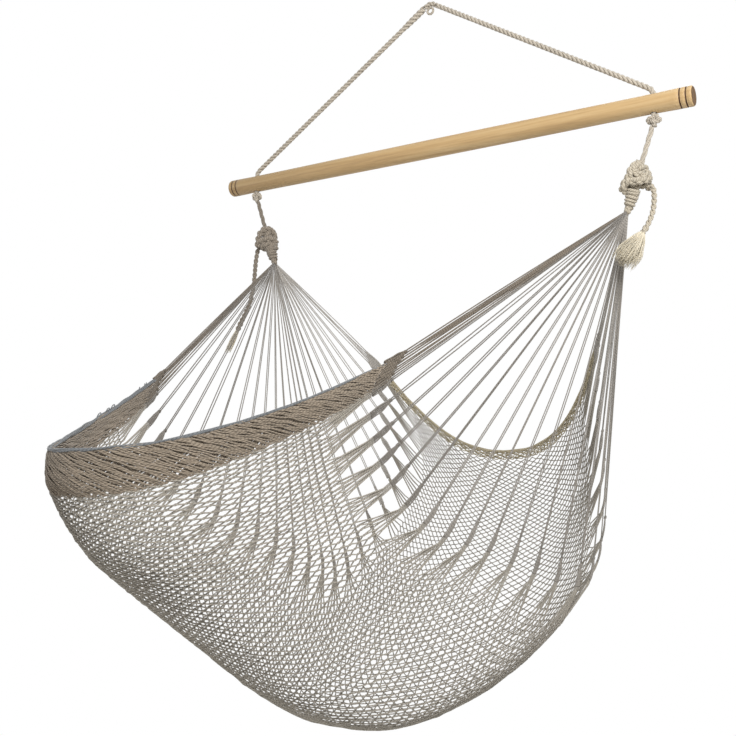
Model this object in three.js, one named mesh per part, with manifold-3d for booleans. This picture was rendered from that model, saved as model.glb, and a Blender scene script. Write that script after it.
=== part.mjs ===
// Hammock chair: a cotton net seat hung by strings and ropes from a turned wooden bar.
// Millimetres, +Z up, +X along the bar. The open front of the seat faces -Y.
// The origin is the middle of the hook wire that carries the chair.

import * as THREE from 'three';
import { mergeVertices } from 'three/addons/utils/BufferGeometryUtils.js';
import Module from 'manifold-3d';

const wasm = await Module();
wasm.setup();

const { Vector3 } = THREE;

// Clearance between pieces that touch, and how far a cutter passes what it cuts
const gap = 0.3;
const overrun = 20;

// Rope turn on the hook, and the bridle that runs from it to the bar
const hookBore = 8;
const turnRope = 5;
const bridleRope = 10;
const crownReach = 13; // from the middle to each end of the crown
const hookToBar = 284; // down to the bar's axis
const bendRise = 8; // the bridle's bend above the bar
const bendLength = 10; // from the corner of that bend to where it runs straight

// Spreader bar, turned from one stick, with two burned rings near each end
const barLength = 1018;
const barDiameter = 36;
const barNeckDiameter = 34.4; // where the rope holes are
const barEndDiameter = 35.6;
const barEndFlare = 30; // length over which the end swells again
const barEndRound = 3;
const holeInset = 69; // from the bar's end to a rope hole
const holeClearance = 1; // all round the rope
const ringInset = 10;
const ringSpacing = 10.7;
const ringWidth = 1.8;
const ringDepth = 0.6;

// Stopper knots under the bar, and the drop ropes below them
const stopperRadius = 13;
const dropRope = 9;
const eyeInset = 51; // how far an arm eye hangs inboard of its rope hole
const eyeDrop = 182; // from the bar's axis to the arm eyes

// Arm knots, and the bound necks that gather the arm strings
const knotToEye = 60; // from the middle of an arm knot to its eye
const knotRadius = 29;
const knotGap = 0.8; // between the strands of a knot
const neckDiameter = 15;
const neckEyeDiameter = 20; // the round end that the strings fan out from
const whippingCord = 3;
const whippingPitch = 3.6;

// Net bed: its lines are measured from the line through both arm eyes
const bedReach = 880; // forward, to the front edge
const bedDepth = 870; // down, to the deepest point of the middle line
const stringSpread = 260; // from the middle to where the arm strings meet the bed
const stringDepth = 690; // down, to the lowest end of the arm strings
const frontBandHeight = 55;
const frontBandThickness = 10;
const backBandHeight = 24;
const backBandThickness = 9;
const bandSeam = 1.2; // between a band and the net beside it, where they lie closest
const strandWidth = 5;
const strandThickness = 4;

// Arm strings
const stringWidth = 3.2;
const stringThickness = 3;
const stringRootThickness = 6;
const tuftWidth = 7; // the flattened wedge at the far end of a string
const tuftLength = 45;

// Spare ends of the arm ropes, and their frayed brushes
const tailRope = 8;
const rightBrushWidth = 38;
const rightBrushLength = 58;
const leftBrushWidth = 13;
const leftBrushLength = 50;
const brushNeckLength = 9;

// Counts
const bedColumns = 12; // strands across the bed, even
const bedRows = 44; // strands from front to back, even
const frontBandStrings = 5;
const backBandStrings = 2;
const frontGroupShare = 0.38; // share of a side's strings in the front group
const backGroupShare = 0.27;
const frontBandRidges = 3;
const backBandRidges = 1;
const whippingTurns = 6;
const turnSteps = 12;
const cordSides = 5;
const knotSides = 6;
const knotSteps = 36;
const stopperSteps = 24;
const ropeSides = 8;
const ballSides = 16;
const barSides = 20;

// Middle line of the bed, front edge first: shares of bedReach and of bedDepth
const middleLineShares = [
  [-1, -0.49],
  [-0.99, -0.55],
  [-0.92, -0.64],
  [-0.82, -0.71],
  [-0.67, -0.81],
  [-0.52, -0.91],
  [-0.32, -0.99],
  [-0.1, -0.97],
  [0.13, -0.88],
  [0.31, -0.74],
  [0.41, -0.6],
  [0.36, -0.46],
];

// Line where the arm strings end: shares of stringSpread, of bedReach and of stringDepth
const endLineShares = [
  [0.84, -0.59, -0.44],
  [0.81, -0.62, -0.5],
  [0.78, -0.6, -0.6],
  [0.77, -0.53, -0.7],
  [0.78, -0.4, -0.79],
  [0.82, -0.24, -0.84],
  [0.91, -0.07, -0.91],
  [1.02, 0.09, -0.95],
  [1.01, 0.21, -0.85],
  [0.95, 0.27, -0.67],
  [0.93, 0.26, -0.48],
  [0.96, 0.23, -0.3],
];

// Section of a gathered band: thickness at its edges and between its ridges
const bandEdgeShare = 0.3;
const bandValleyShare = 0.62;

// Where strings part, in string widths, and how far a group reaches past its outer strings
const partingShare = 1.35;
const groupEdgeShare = 0.03;

// Brush below its neck: shares of its width and of its length
const brushShares = [
  [0.85, 0.35],
  [1, 0.75],
  [0.7, 1],
];

// How full the bed hangs between its ends: a power of the share of the way from the middle
const flattestSag = 1.6;
const fullestSag = 3.2;

// How much fuller the front edge hangs, and the share of the bed over which that fades
const frontSag = 0.8;
const frontSagReach = 0.22;

// Turn of the knots that points a lobe where the spare end leaves, and the step for slopes
const knotTilt = THREE.MathUtils.degToRad(-40);
const slopeStep = 1e-3;

// Places worked out from the sizes
const barRadius = barDiameter / 2;
const neckOfBarRadius = barNeckDiameter / 2;
const holeX = barLength / 2 - holeInset;
const holeRadius = bridleRope / 2 + holeClearance;
const turnRadius = (hookBore + turnRope) / 2;
const turnOuter = turnRadius + turnRope / 2;
const crownRadius = turnOuter + gap + bridleRope / 2;
const stopperZ = -hookToBar - neckOfBarRadius - gap - stopperRadius;
const eyeX = holeX - eyeInset;
const eyeZ = -hookToBar - eyeDrop;
const eyeRadius = neckEyeDiameter / 2;

// Materials
const cotton = new THREE.MeshStandardMaterial({ color: 0xd8cdb8, roughness: 0.95, metalness: 0 });
const shadedCotton = new THREE.MeshStandardMaterial({ color: 0xa89a85, roughness: 0.95, metalness: 0 });
const rope = new THREE.MeshStandardMaterial({ color: 0xc9bea8, roughness: 0.9, metalness: 0 });
const wood = new THREE.MeshStandardMaterial({ color: 0xc8a76f, roughness: 0.6, metalness: 0 });

const chair = new THREE.Group();
const arms = Object.entries({ left: -1, right: 1 });

function addPiece(name, geometry, material) {
  const mesh = new THREE.Mesh(geometry, material);
  mesh.name = name;
  chair.add(mesh);
}

// A closed geometry as a solid for joining and cutting
function solidOf(geometry) {
  const bare = geometry.clone();
  bare.deleteAttribute('normal');
  bare.deleteAttribute('uv');
  const merged = mergeVertices(bare);
  return new wasm.Manifold(
    new wasm.Mesh({
      numProp: 3,
      vertProperties: new Float32Array(merged.attributes.position.array),
      triVerts: new Uint32Array(merged.index.array),
    }),
  );
}

function geometryOf(solid) {
  const { vertProperties, triVerts } = solid.getMesh();
  return indexedGeometry([...vertProperties], [...triVerts]);
}

function indexedGeometry(positions, index) {
  const geometry = new THREE.BufferGeometry();
  geometry.setAttribute('position', new THREE.Float32BufferAttribute(positions, 3));
  geometry.setIndex(index);
  geometry.computeVertexNormals();
  return geometry;
}

// What is left of a solid after a cut, when the cut leaves loose scraps beside it
function largestOf(solid) {
  return solid.decompose().reduce((best, piece) => (piece.volume() > best.volume() ? piece : best));
}

// Faces that join rings of points into a tube, closed on itself or with flat ends
function ringIndex(rings, sides, isLoop) {
  const index = [];
  for (let i = 0; i < (isLoop ? rings : rings - 1); i++) {
    const here = i * sides;
    const next = ((i + 1) % rings) * sides;
    for (let k = 0; k < sides; k++) {
      const after = (k + 1) % sides;
      index.push(here + k, here + after, next + after, here + k, next + after, next + k);
    }
  }
  const end = (rings - 1) * sides;
  for (let k = 1; k < sides - 1 && !isLoop; k++) {
    index.push(0, k + 1, k, end, end + k, end + k + 1);
  }
  return index;
}

// A round tube through a list of points. A loop gets the direction that each ring starts from.
function sweptTube(points, radius, sides, loopStarts = null) {
  const positions = [];
  const count = points.length;
  let across = new Vector3(0, 1, 0);
  points.forEach((point, i) => {
    const before = loopStarts ? points[(i + count - 1) % count] : points[Math.max(i - 1, 0)];
    const after = loopStarts ? points[(i + 1) % count] : points[Math.min(i + 1, count - 1)];
    const along = after.clone().sub(before).normalize();
    const start = loopStarts ? loopStarts[i] : across;
    across = start.clone().addScaledVector(along, -along.dot(start)).normalize();
    const over = new Vector3().crossVectors(along, across);
    for (let k = 0; k < sides; k++) {
      const turn = (2 * Math.PI * k) / sides;
      const place = point.clone();
      place.addScaledVector(across, radius * Math.cos(turn));
      place.addScaledVector(over, radius * Math.sin(turn));
      positions.push(place.x, place.y, place.z);
    }
  });
  return indexedGeometry(positions, ringIndex(count, sides, Boolean(loopStarts)));
}

// Print the least gap between the turns of a tube, measured on the points of its middle line
function printLeastGap(name, points, radius, isLoop) {
  const travelled = [0];
  points.forEach((point, i) => {
    travelled.push(travelled[i] + point.distanceTo(points[(i + 1) % points.length]));
  });
  const whole = travelled[points.length];
  let least = Infinity;
  points.forEach((point, i) => {
    for (let k = i + 1; k < points.length; k++) {
      const along = travelled[k] - travelled[i];
      if (Math.min(along, isLoop ? whole - along : along) > 2 * Math.PI * radius) {
        least = Math.min(least, point.distanceTo(points[k]) - 2 * radius);
      }
    }
  });
  console.log(`${name}: at least ${least.toFixed(2)} mm between its turns`);
}

// A sheet of flat faces given thickness. Each corner has a place, a normal and a half thickness.
// Every edge that only one face uses gets a wall.
function thickSheet(corners, faces) {
  const positions = [];
  for (const { place, normal, half } of corners) {
    const top = place.clone().addScaledVector(normal, half);
    const bottom = place.clone().addScaledVector(normal, -half);
    positions.push(top.x, top.y, top.z, bottom.x, bottom.y, bottom.z);
  }
  const index = [];
  const used = new Set();
  for (const face of faces) {
    face.forEach((a, i) => used.add(`${a}>${face[(i + 1) % face.length]}`));
    for (let i = 1; i < face.length - 1; i++) {
      index.push(2 * face[0], 2 * face[i], 2 * face[i + 1]);
      index.push(2 * face[0] + 1, 2 * face[i + 1] + 1, 2 * face[i] + 1);
    }
  }
  for (const edge of used) {
    const [a, b] = edge.split('>').map(Number);
    if (!used.has(`${b}>${a}`)) {
      index.push(2 * b, 2 * a, 2 * a + 1);
      index.push(2 * b, 2 * a + 1, 2 * b + 1);
    }
  }
  return indexedGeometry(positions, index);
}

// Rope turn that the hook's wire passes through
function hookTurn() {
  const ring = new THREE.TorusGeometry(turnRadius, turnRope / 2, ropeSides, 2 * turnSteps);
  return ring.rotateX(Math.PI / 2);
}

// One rope: over the hook turn, down to each rope hole and through the bar
function bridlePath() {
  const corner = new Vector3(holeX, 0, -hookToBar + neckOfBarRadius + bendRise);
  const fall = Math.atan2(corner.z, corner.x);
  const leave = fall + Math.acos(crownRadius / Math.hypot(corner.x, corner.z));
  const half = [];
  for (let i = 0; i <= turnSteps / 2; i++) {
    const angle = leave + ((Math.PI / 2 - leave) * i) / (turnSteps / 2);
    half.push(new Vector3(crownRadius * Math.cos(angle), 0, crownRadius * Math.sin(angle)));
  }
  const down = half[0].clone().sub(corner).normalize();
  const bend = new THREE.QuadraticBezierCurve3(
    corner.clone().addScaledVector(down, bendLength),
    corner,
    corner.clone().add(new Vector3(0, 0, -bendLength)),
  );
  half.unshift(...bend.getPoints(turnSteps / 2).reverse());
  half.unshift(new Vector3(holeX, 0, stopperZ));
  const mirrored = half.slice(0, -1).map((p) => new Vector3(-p.x, p.y, p.z));
  return [...mirrored, ...half.reverse()];
}

function addBridle() {
  const bridle = solidOf(sweptTube(bridlePath(), bridleRope / 2, ropeSides));
  const crown = bridle.trimByPlane([1, 0, 0], -crownReach).trimByPlane([-1, 0, 0], -crownReach);
  addPiece('bridle_crown', geometryOf(crown), rope);
  for (const [name, side] of arms) {
    const leg = bridle.trimByPlane([side, 0, 0], crownReach + gap);
    addPiece(`${name}_bridle_rope`, geometryOf(leg.subtract(stopperSpace(side))), rope);
  }
}

// The ball of space that a stopper knot fills, with the clearance round it
function stopperSpace(side) {
  const ball = new THREE.SphereGeometry(stopperRadius + gap, ballSides, ballSides / 2);
  return solidOf(ball.rotateX(Math.PI / 2).translate(side * holeX, 0, stopperZ));
}

// Half of the bar's outline, from its end to its middle: distance from the end, and radius
function barOutline() {
  const end = barEndDiameter / 2;
  const corner = [];
  for (const turn of [0, Math.PI / 6, Math.PI / 3, Math.PI / 2]) {
    corner.push([
      barEndRound * (1 - Math.sin(turn)),
      end - barEndRound * (1 - Math.cos(turn)),
    ]);
  }
  const rings = [0, 1].flatMap((n) => {
    const middle = ringInset + n * ringSpacing;
    return [
      [middle - ringWidth / 2, end],
      [middle, end - ringDepth],
      [middle + ringWidth / 2, end],
    ];
  });
  return [
    [0, 0],
    ...corner.reverse(),
    ...rings,
    [barEndFlare, end],
    [holeInset, neckOfBarRadius],
    [2 * holeInset, neckOfBarRadius],
    [barLength / 2, barRadius],
  ];
}

function spreaderBar() {
  const half = barOutline();
  const outline = half.map(([along, radius]) => new THREE.Vector2(radius, along - barLength / 2));
  const mirrored = outline.slice(0, -1).map(({ x, y }) => new THREE.Vector2(x, -y));
  const turned = new THREE.LatheGeometry([...outline, ...mirrored.reverse()], barSides);
  let bar = solidOf(turned.rotateZ(-Math.PI / 2).translate(0, 0, -hookToBar));
  for (const [, side] of arms) {
    const depth = barDiameter + overrun;
    const drill = new THREE.CylinderGeometry(holeRadius, holeRadius, depth, 2 * ropeSides);
    bar = bar.subtract(solidOf(drill.rotateX(Math.PI / 2).translate(side * holeX, 0, -hookToBar)));
  }
  return geometryOf(bar);
}

// A tight round knot: one closed rope that winds twice round while it dips three times through.
// The rope is as thick as the outer radius lets it be with a clearance between its strands.
function ropeKnot(outerRadius, steps, side, swell = 0) {
  const ropeRadius = (outerRadius - 3 * knotGap) / 4;
  const lobe = ropeRadius + knotGap / 2;
  const ring = outerRadius - ropeRadius - lobe;
  const points = [];
  const starts = [];
  for (let i = 0; i < steps; i++) {
    const turn = (2 * Math.PI * i) / steps;
    const round = 2 * turn + knotTilt;
    const core = new Vector3(ring * Math.cos(round), 0, ring * Math.sin(round));
    const out = new Vector3(Math.cos(round), 0, Math.sin(round)).multiplyScalar(Math.cos(3 * turn));
    out.y = Math.sin(3 * turn);
    starts.push(out);
    points.push(core.addScaledVector(out, lobe));
  }
  if (swell === 0) {
    printLeastGap(`knot of radius ${outerRadius}`, points, ropeRadius, true);
  }
  const knot = sweptTube(points, ropeRadius + swell, knotSides, starts);
  return side > 0 ? knot : knot.rotateY(2 * knotTilt - Math.PI);
}

// Knot under the bar, with the rope's own strand straight through it from bore to drop rope
function stopperKnot(side) {
  const strand = new THREE.CylinderGeometry(dropRope / 2, dropRope / 2, 3 * stopperRadius, ropeSides);
  const ball = new THREE.SphereGeometry(stopperRadius, ballSides, ballSides / 2);
  const core = solidOf(strand.rotateX(Math.PI / 2)).intersect(solidOf(ball.rotateX(Math.PI / 2)));
  const knot = solidOf(ropeKnot(stopperRadius, stopperSteps, side)).add(core);
  return geometryOf(knot.translate([side * holeX, 0, stopperZ]));
}

// Where one arm's pieces lie: stopper, knot and eye on one line
function armLine(side) {
  const stopper = new Vector3(side * holeX, 0, stopperZ);
  const eye = new Vector3(side * eyeX, 0, eyeZ);
  const down = eye.clone().sub(stopper).normalize();
  return { stopper, eye, down, knot: eye.clone().addScaledVector(down, -knotToEye) };
}

function addArm(name, side) {
  const { stopper, eye, down, knot } = armLine(side);
  const place = (geometry) => geometry.translate(knot.x, knot.y, knot.z);
  const knotSpace = solidOf(place(ropeKnot(knotRadius, knotSteps, side, gap)));
  addPiece(`${name}_arm_knot`, place(ropeKnot(knotRadius, knotSteps, side)), rope);

  const drop = solidOf(sweptTube([stopper, knot], dropRope / 2, ropeSides));
  const hung = drop.subtract(stopperSpace(side)).subtract(knotSpace);
  addPiece(`${name}_drop_rope`, geometryOf(largestOf(hung)), rope);

  // The neck runs from inside the knot to a round end at the eye
  const neckRadius = neckDiameter / 2;
  const swell = Math.asin(neckRadius / eyeRadius);
  const outline = [new THREE.Vector2(0, 0), new THREE.Vector2(neckRadius, 0)];
  for (let i = 0; i <= turnSteps / 2; i++) {
    const turn = swell + ((Math.PI - swell) * 2 * i) / turnSteps;
    outline.push(new THREE.Vector2(eyeRadius * Math.sin(turn), knotToEye - eyeRadius * Math.cos(turn)));
  }
  outline.at(-1).x = 0;
  const along = new THREE.Quaternion().setFromUnitVectors(new Vector3(0, 1, 0), down);
  const neck = place(new THREE.LatheGeometry(outline, turnSteps).applyQuaternion(along));
  addPiece(`${name}_arm_neck`, geometryOf(largestOf(solidOf(neck).subtract(knotSpace))), rope);

  // One cord wound round the neck, from the knot to the swell of the round end
  const coil = [];
  const coilRadius = neckRadius + gap + whippingCord / 2;
  const coilLength = whippingTurns * whippingPitch;
  const bare = knotToEye - eyeRadius * Math.cos(swell) - knotRadius;
  const first = knotRadius + (bare - coilLength) / 2;
  for (let i = 0; i <= whippingTurns * turnSteps; i++) {
    const turn = (2 * Math.PI * i) / turnSteps;
    const rise = first + (coilLength * i) / (whippingTurns * turnSteps);
    coil.push(new Vector3(coilRadius * Math.cos(turn), rise, coilRadius * Math.sin(turn)));
  }
  printLeastGap(`${name}_neck_whipping`, coil, whippingCord / 2, false);
  const whipping = sweptTube(coil, whippingCord / 2, cordSides).applyQuaternion(along);
  addPiece(`${name}_neck_whipping`, place(whipping), rope);
}

// The bed's two guiding lines, from the eyes' line
const middleLine = new THREE.CatmullRomCurve3(
  middleLineShares.map(([y, z]) => new Vector3(0, y * bedReach, z * bedDepth)),
  false,
  'catmullrom',
);
const endLine = new THREE.CatmullRomCurve3(
  endLineShares.map(([x, y, z]) => new Vector3(x * stringSpread, y * bedReach, z * stringDepth)),
  false,
  'catmullrom',
);

// A point of the bed: t from the front edge to the back edge, s from the left end to the right.
// Each strand hangs in a plane through both eyes and leaves its end in line with its string.
function bedPoint(t, s) {
  const middle = middleLine.getPoint(t);
  const end = endLine.getPoint(t);
  const middleArm = Math.hypot(middle.y, middle.z);
  const endArm = Math.hypot(end.y, end.z);
  const steady = (end.x / (middleArm - endArm)) * (endArm / (eyeX - end.x));
  const fullness = THREE.MathUtils.clamp(steady, flattestSag, fullestSag);
  const lower = fullness + frontSag * Math.exp(-t / frontSagReach);
  const z = THREE.MathUtils.lerp(middle.z, end.z, Math.abs(s) ** lower);
  const point = middle.lerp(end, Math.abs(s) ** fullness);
  return point.set(s * end.x, point.y, z + eyeZ);
}

function bedSlopes(t, s) {
  const before = Math.max(t - slopeStep, 0);
  const after = Math.min(t + slopeStep, 1);
  const left = Math.max(s - slopeStep, -1);
  const right = Math.min(s + slopeStep, 1);
  const back = bedPoint(after, s).sub(bedPoint(before, s)).divideScalar(after - before);
  const along = bedPoint(t, right).sub(bedPoint(t, left)).divideScalar(right - left);
  return { back, along, normal: new Vector3().crossVectors(along, back).normalize() };
}

// The change of t that shifts every point of a strand sideways by at least the distance
function stepBack(t, distance) {
  let slowest = Infinity;
  for (let i = 0; i <= bedColumns; i++) {
    const { back, along } = bedSlopes(t, (2 * i) / bedColumns - 1);
    slowest = Math.min(slowest, back.cross(along.normalize()).length());
  }
  return distance / slowest;
}

// A net of flat strands. At every knot a corner lies between each two neighbouring strands,
// on both their edges.
function netting(knots, strands) {
  for (const [a, b] of strands) {
    knots[a].ties.push(b);
    knots[b].ties.push(a);
  }
  const corners = [];
  const faces = [];
  for (const knot of knots) {
    const { place, normal } = knot;
    const ahead = knots[knot.ties[0]].place.clone().sub(place).projectOnPlane(normal).normalize();
    const aside = new Vector3().crossVectors(normal, ahead);
    const tied = knot.ties.map((to) => {
      const way = knots[to].place.clone().sub(place);
      const angle = Math.atan2(way.dot(aside), way.dot(ahead));
      return { to, angle: angle < -slopeStep ? angle + 2 * Math.PI : Math.max(angle, 0) };
    });
    tied.sort((a, b) => a.angle - b.angle);
    knot.ties = tied.map(({ to }) => to);
    knot.firstCorner = corners.length;
    tied.forEach(({ angle }, i) => {
      const next = i + 1 < tied.length ? tied[i + 1].angle : tied[0].angle + 2 * Math.PI;
      const half = (next - angle) / 2;
      const reach = strandWidth / 2 / Math.sin(half);
      const corner = place.clone();
      corner.addScaledVector(ahead, reach * Math.cos(angle + half));
      corner.addScaledVector(aside, reach * Math.sin(angle + half));
      corners.push({ place: corner, normal, half: strandThickness / 2 });
    });
    if (tied.length > 2) {
      faces.push(tied.map((_, i) => knot.firstCorner + i));
    }
  }
  const cornerAfter = (from, to, turn) => {
    const { ties, firstCorner } = knots[from];
    return firstCorner + ((ties.indexOf(to) + turn + ties.length) % ties.length);
  };
  for (const [a, b] of strands) {
    faces.push([
      cornerAfter(a, b, -1),
      cornerAfter(b, a, 0),
      cornerAfter(b, a, -1),
      cornerAfter(a, b, 0),
    ]);
  }
  return thickSheet(corners, faces);
}

// Rows of the net bed: t of each, evenly spaced along the middle line between the two bands
const middleLength = middleLine.getLength();
const frontBandT = middleLine.getUtoTmapping(frontBandHeight / middleLength);
const backBandT = middleLine.getUtoTmapping(1 - backBandHeight / middleLength);
const netEdge = strandWidth / 2 + bandSeam;
const frontRowT = frontBandT + stepBack(frontBandT, netEdge);
const backRowT = backBandT - stepBack(backBandT, netEdge);

function rowT(row) {
  return THREE.MathUtils.lerp(frontRowT, backRowT, row / bedRows);
}

// Every place along the bed's front or back row, two to a column, so that it follows the band
function rowPlaces() {
  return Array.from({ length: 2 * bedColumns + 1 }, (_, i) => i / 2);
}

function netBed() {
  const knots = [];
  const numbers = new Map();
  const addKnot = (i, j) => {
    const s = (2 * i) / bedColumns - 1;
    numbers.set(`${i},${j}`, knots.length);
    knots.push({ place: bedPoint(rowT(j), s), normal: bedSlopes(rowT(j), s).normal, ties: [] });
  };
  for (let j = 0; j <= bedRows; j++) {
    const isEdge = j === 0 || j === bedRows;
    for (const i of isEdge ? rowPlaces() : rowPlaces().filter((place) => (place + j) % 2 === 0)) {
      addKnot(i, j);
    }
  }
  const strands = [];
  const tie = (i, j, toI, toJ) => {
    const pair = [numbers.get(`${i},${j}`), numbers.get(`${toI},${toJ}`)];
    if (pair.every((number) => number !== undefined)) {
      strands.push(pair);
    }
  };
  for (let j = 0; j <= bedRows; j++) {
    for (let i = j % 2; i <= bedColumns; i += 2) {
      tie(i, j, i + 1, j + 1);
      tie(i, j, i + 1, j - 1);
      if (i === 0 || i === bedColumns) {
        tie(i, j, i, j + 2);
      }
    }
  }
  for (const j of [0, bedRows]) {
    rowPlaces().forEach((i) => tie(i, j, i + 1 / 2, j));
  }
  return netting(knots, strands);
}

// Strands gathered side by side into a band that runs along the bed's edge
function edgeBand(fromT, toT, thickness, ridges) {
  const outline = [[1, bandEdgeShare]];
  for (let k = 0; k < ridges; k++) {
    outline.push([1 - (2 * k + 1) / ridges, 1]);
    if (k < ridges - 1) {
      outline.push([1 - (2 * k + 2) / ridges, bandValleyShare]);
    }
  }
  outline.push([-1, bandEdgeShare]);
  const section = [...outline.map(([h, w]) => [h, -w]), ...outline.reverse()];
  const positions = [];
  for (const i of rowPlaces()) {
    const s = (2 * i) / bedColumns - 1;
    const upper = bedPoint(fromT, s);
    const lower = bedPoint(toT, s);
    const { normal } = bedSlopes((fromT + toT) / 2, s);
    for (const [h, w] of section) {
      const place = lower.clone().lerp(upper, (1 + h) / 2);
      place.addScaledVector(normal, (w * thickness) / 2);
      positions.push(place.x, place.y, place.z);
    }
  }
  return indexedGeometry(positions, ringIndex(rowPlaces().length, section.length, false));
}

// The end of a string that runs from an eye to a target on the bed's end line. It stops clear of
// what runs from the target to each neighbour, whose edge lies a given distance outside that line.
function stringTip(side, target, normal, neighbours, edge) {
  const way = target.clone().sub(armLine(side).eye).normalize();
  let away = 0;
  for (const neighbour of neighbours) {
    const line = neighbour.clone().sub(target);
    const out = new Vector3().crossVectors(line, normal).normalize();
    const aside = line.projectOnPlane(way).normalize();
    const over = new Vector3().crossVectors(way, aside);
    const half = tuftWidth * Math.abs(aside.dot(out)) + stringThickness * Math.abs(over.dot(out));
    away = Math.max(away, (edge + gap + half / 2) / Math.abs(way.dot(out)));
  }
  return target.clone().addScaledVector(way, -away);
}

// Ends of the strings that meet the flat end of an edge band, side by side across it
function bandTips(side, fromT, toT, count) {
  const upper = bedPoint(fromT, side);
  const lower = bedPoint(toT, side);
  const { normal } = bedSlopes((fromT + toT) / 2, side);
  return Array.from({ length: count }, (_, k) => {
    const target = upper.clone().lerp(lower, (k + 1 / 2) / count);
    return stringTip(side, target, normal, [lower], 0);
  });
}

// Ends of one side's strings, from the front edge to the back edge of the bed
function stringTips(side) {
  const tips = bandTips(side, 0, frontBandT, frontBandStrings);
  for (let row = 0; row <= bedRows; row += 2) {
    const near = [row > 0 ? rowT(row - 2) : 0, row < bedRows ? rowT(row + 2) : 1];
    const neighbours = near.map((t) => bedPoint(t, side));
    const { normal } = bedSlopes(rowT(row), side);
    tips.push(stringTip(side, bedPoint(rowT(row), side), normal, neighbours, strandWidth / 2));
  }
  return [...tips, ...bandTips(side, backBandT, 1, backBandStrings)];
}

// Strings that leave one eye as a solid root, part, and end in flat tufts
function stringFan(eye, tips) {
  const ways = tips.map((tip) => tip.clone().sub(eye).normalize());
  const last = ways.length - 1;
  const asides = ways.map((way, k) => {
    const aside = ways[Math.min(k + 1, last)].clone().sub(ways[Math.max(k - 1, 0)]);
    return aside.projectOnPlane(way).normalize();
  });
  const normals = ways.map((way, k) => new Vector3().crossVectors(way, asides[k]));
  const corners = [];
  const faces = [];
  const rootRadius = eyeRadius + gap;

  // Borders between the strings, and the two outer borders of the group
  for (let k = 0; k <= last + 1; k++) {
    const one = ways[THREE.MathUtils.clamp(k - 1, 0, last)];
    const two = ways[THREE.MathUtils.clamp(k, 0, last)];
    const normal = normals[Math.min(k, last)];
    const border = one.clone().add(two).normalize();
    if (k === 0) {
      border.addScaledVector(ways[0].clone().sub(ways[1]), groupEdgeShare).normalize();
    }
    if (k === last + 1) {
      border.addScaledVector(ways[last].clone().sub(ways[last - 1]), groupEdgeShare).normalize();
    }
    const near = THREE.MathUtils.clamp(k, 1, last);
    const spread = ways[near].angleTo(ways[near - 1]);
    const part = Math.max((partingShare * stringWidth) / spread, 2 * rootRadius);
    const root = eye.clone().addScaledVector(border, rootRadius);
    const parting = eye.clone().addScaledVector(border, part);
    corners.push({ place: root, normal, half: stringRootThickness / 2 });
    corners.push({ place: parting, normal, half: stringThickness / 2 });
  }
  tips.forEach((tip, k) => {
    const first = corners.length;
    for (const [back, width] of [[tuftLength, stringWidth], [0, tuftWidth]]) {
      const middle = tip.clone().addScaledVector(ways[k], -back);
      for (const turn of [-1, 1]) {
        const place = middle.clone().addScaledVector(asides[k], (turn * width) / 2);
        corners.push({ place, normal: normals[k], half: stringThickness / 2 });
      }
    }
    const root = 2 * k;
    faces.push([root, root + 1, root + 3, root + 2]);
    faces.push([root + 1, first, first + 1, root + 3]);
    faces.push([first, first + 2, first + 3, first + 1]);
  });
  return thickSheet(corners, faces);
}

function addStrings(name, side) {
  const { eye } = armLine(side);
  const tips = stringTips(side);
  const frontCount = Math.round(tips.length * frontGroupShare);
  const backStart = tips.length - Math.round(tips.length * backGroupShare);
  const groups = {
    front: tips.slice(0, frontCount),
    seat: tips.slice(frontCount, backStart),
    back: tips.slice(backStart),
  };
  for (const [group, ends] of Object.entries(groups)) {
    addPiece(`${name}_${group}_strings`, stringFan(eye, ends), cotton);
  }
}

// Spare rope ends that hang from the arm knots, and the frayed brush at the end of each.
// The routes are chosen points.
const tailRoutes = {
  right: [
    [430.8, 0, -428.1],
    [434.5, -1, -433],
    [437.2, -4, -447.8],
    [435.6, -9, -475.5],
    [428.5, -15, -498],
    [420, -20.5, -514],
  ],
  left: [
    [-430.8, 0, -428.1],
    [-435.5, -1, -436],
    [-439, -3, -465],
    [-441.5, -5, -508],
    [-448, -10, -551],
    [-461, -16, -583],
    [-472, -22, -611],
  ],
};

function addTail(name, brushWidth, brushLength) {
  const route = new THREE.CatmullRomCurve3(tailRoutes[name].map((point) => new Vector3(...point)));
  const circle = new THREE.Shape().absarc(0, 0, tailRope / 2, 0, 2 * Math.PI);
  const steps = Math.round(route.getLength() / (2 * tailRope));
  const tail = new THREE.ExtrudeGeometry(circle, {
    steps,
    curveSegments: ropeSides / 2,
    extrudePath: route,
  });
  addPiece(`${name}_spare_tail`, tail, rope);

  const outline = [
    new THREE.Vector2(0, 0),
    new THREE.Vector2(tailRope / 2, 0),
    new THREE.Vector2(tailRope / 2, brushNeckLength),
    ...brushShares.map(
      ([wide, far]) => new THREE.Vector2((wide * brushWidth) / 2, brushNeckLength + far * brushLength),
    ),
    new THREE.Vector2(0, brushNeckLength + brushLength),
  ];
  const way = route.getTangent(1);
  const turn = new THREE.Quaternion().setFromUnitVectors(new Vector3(0, 1, 0), way);
  const foot = route.getPoint(1).addScaledVector(way, gap);
  const brush = new THREE.LatheGeometry(outline, turnSteps).applyQuaternion(turn);
  addPiece(`${name}_tail_brush`, brush.translate(foot.x, foot.y, foot.z), cotton);
}

addPiece('hook_turn', hookTurn(), rope);
addBridle();
addPiece('spreader_bar', spreaderBar(), wood);
for (const [name, side] of arms) {
  addPiece(`${name}_stopper_knot`, stopperKnot(side), rope);
  addArm(name, side);
  addStrings(name, side);
}
addPiece('front_edge_band', edgeBand(0, frontBandT, frontBandThickness, frontBandRidges), shadedCotton);
addPiece('net_bed', netBed(), cotton);
addPiece('back_edge_band', edgeBand(backBandT, 1, backBandThickness, backBandRidges), shadedCotton);
addTail('left', leftBrushWidth, leftBrushLength);
addTail('right', rightBrushWidth, rightBrushLength);

export default chair;
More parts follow.
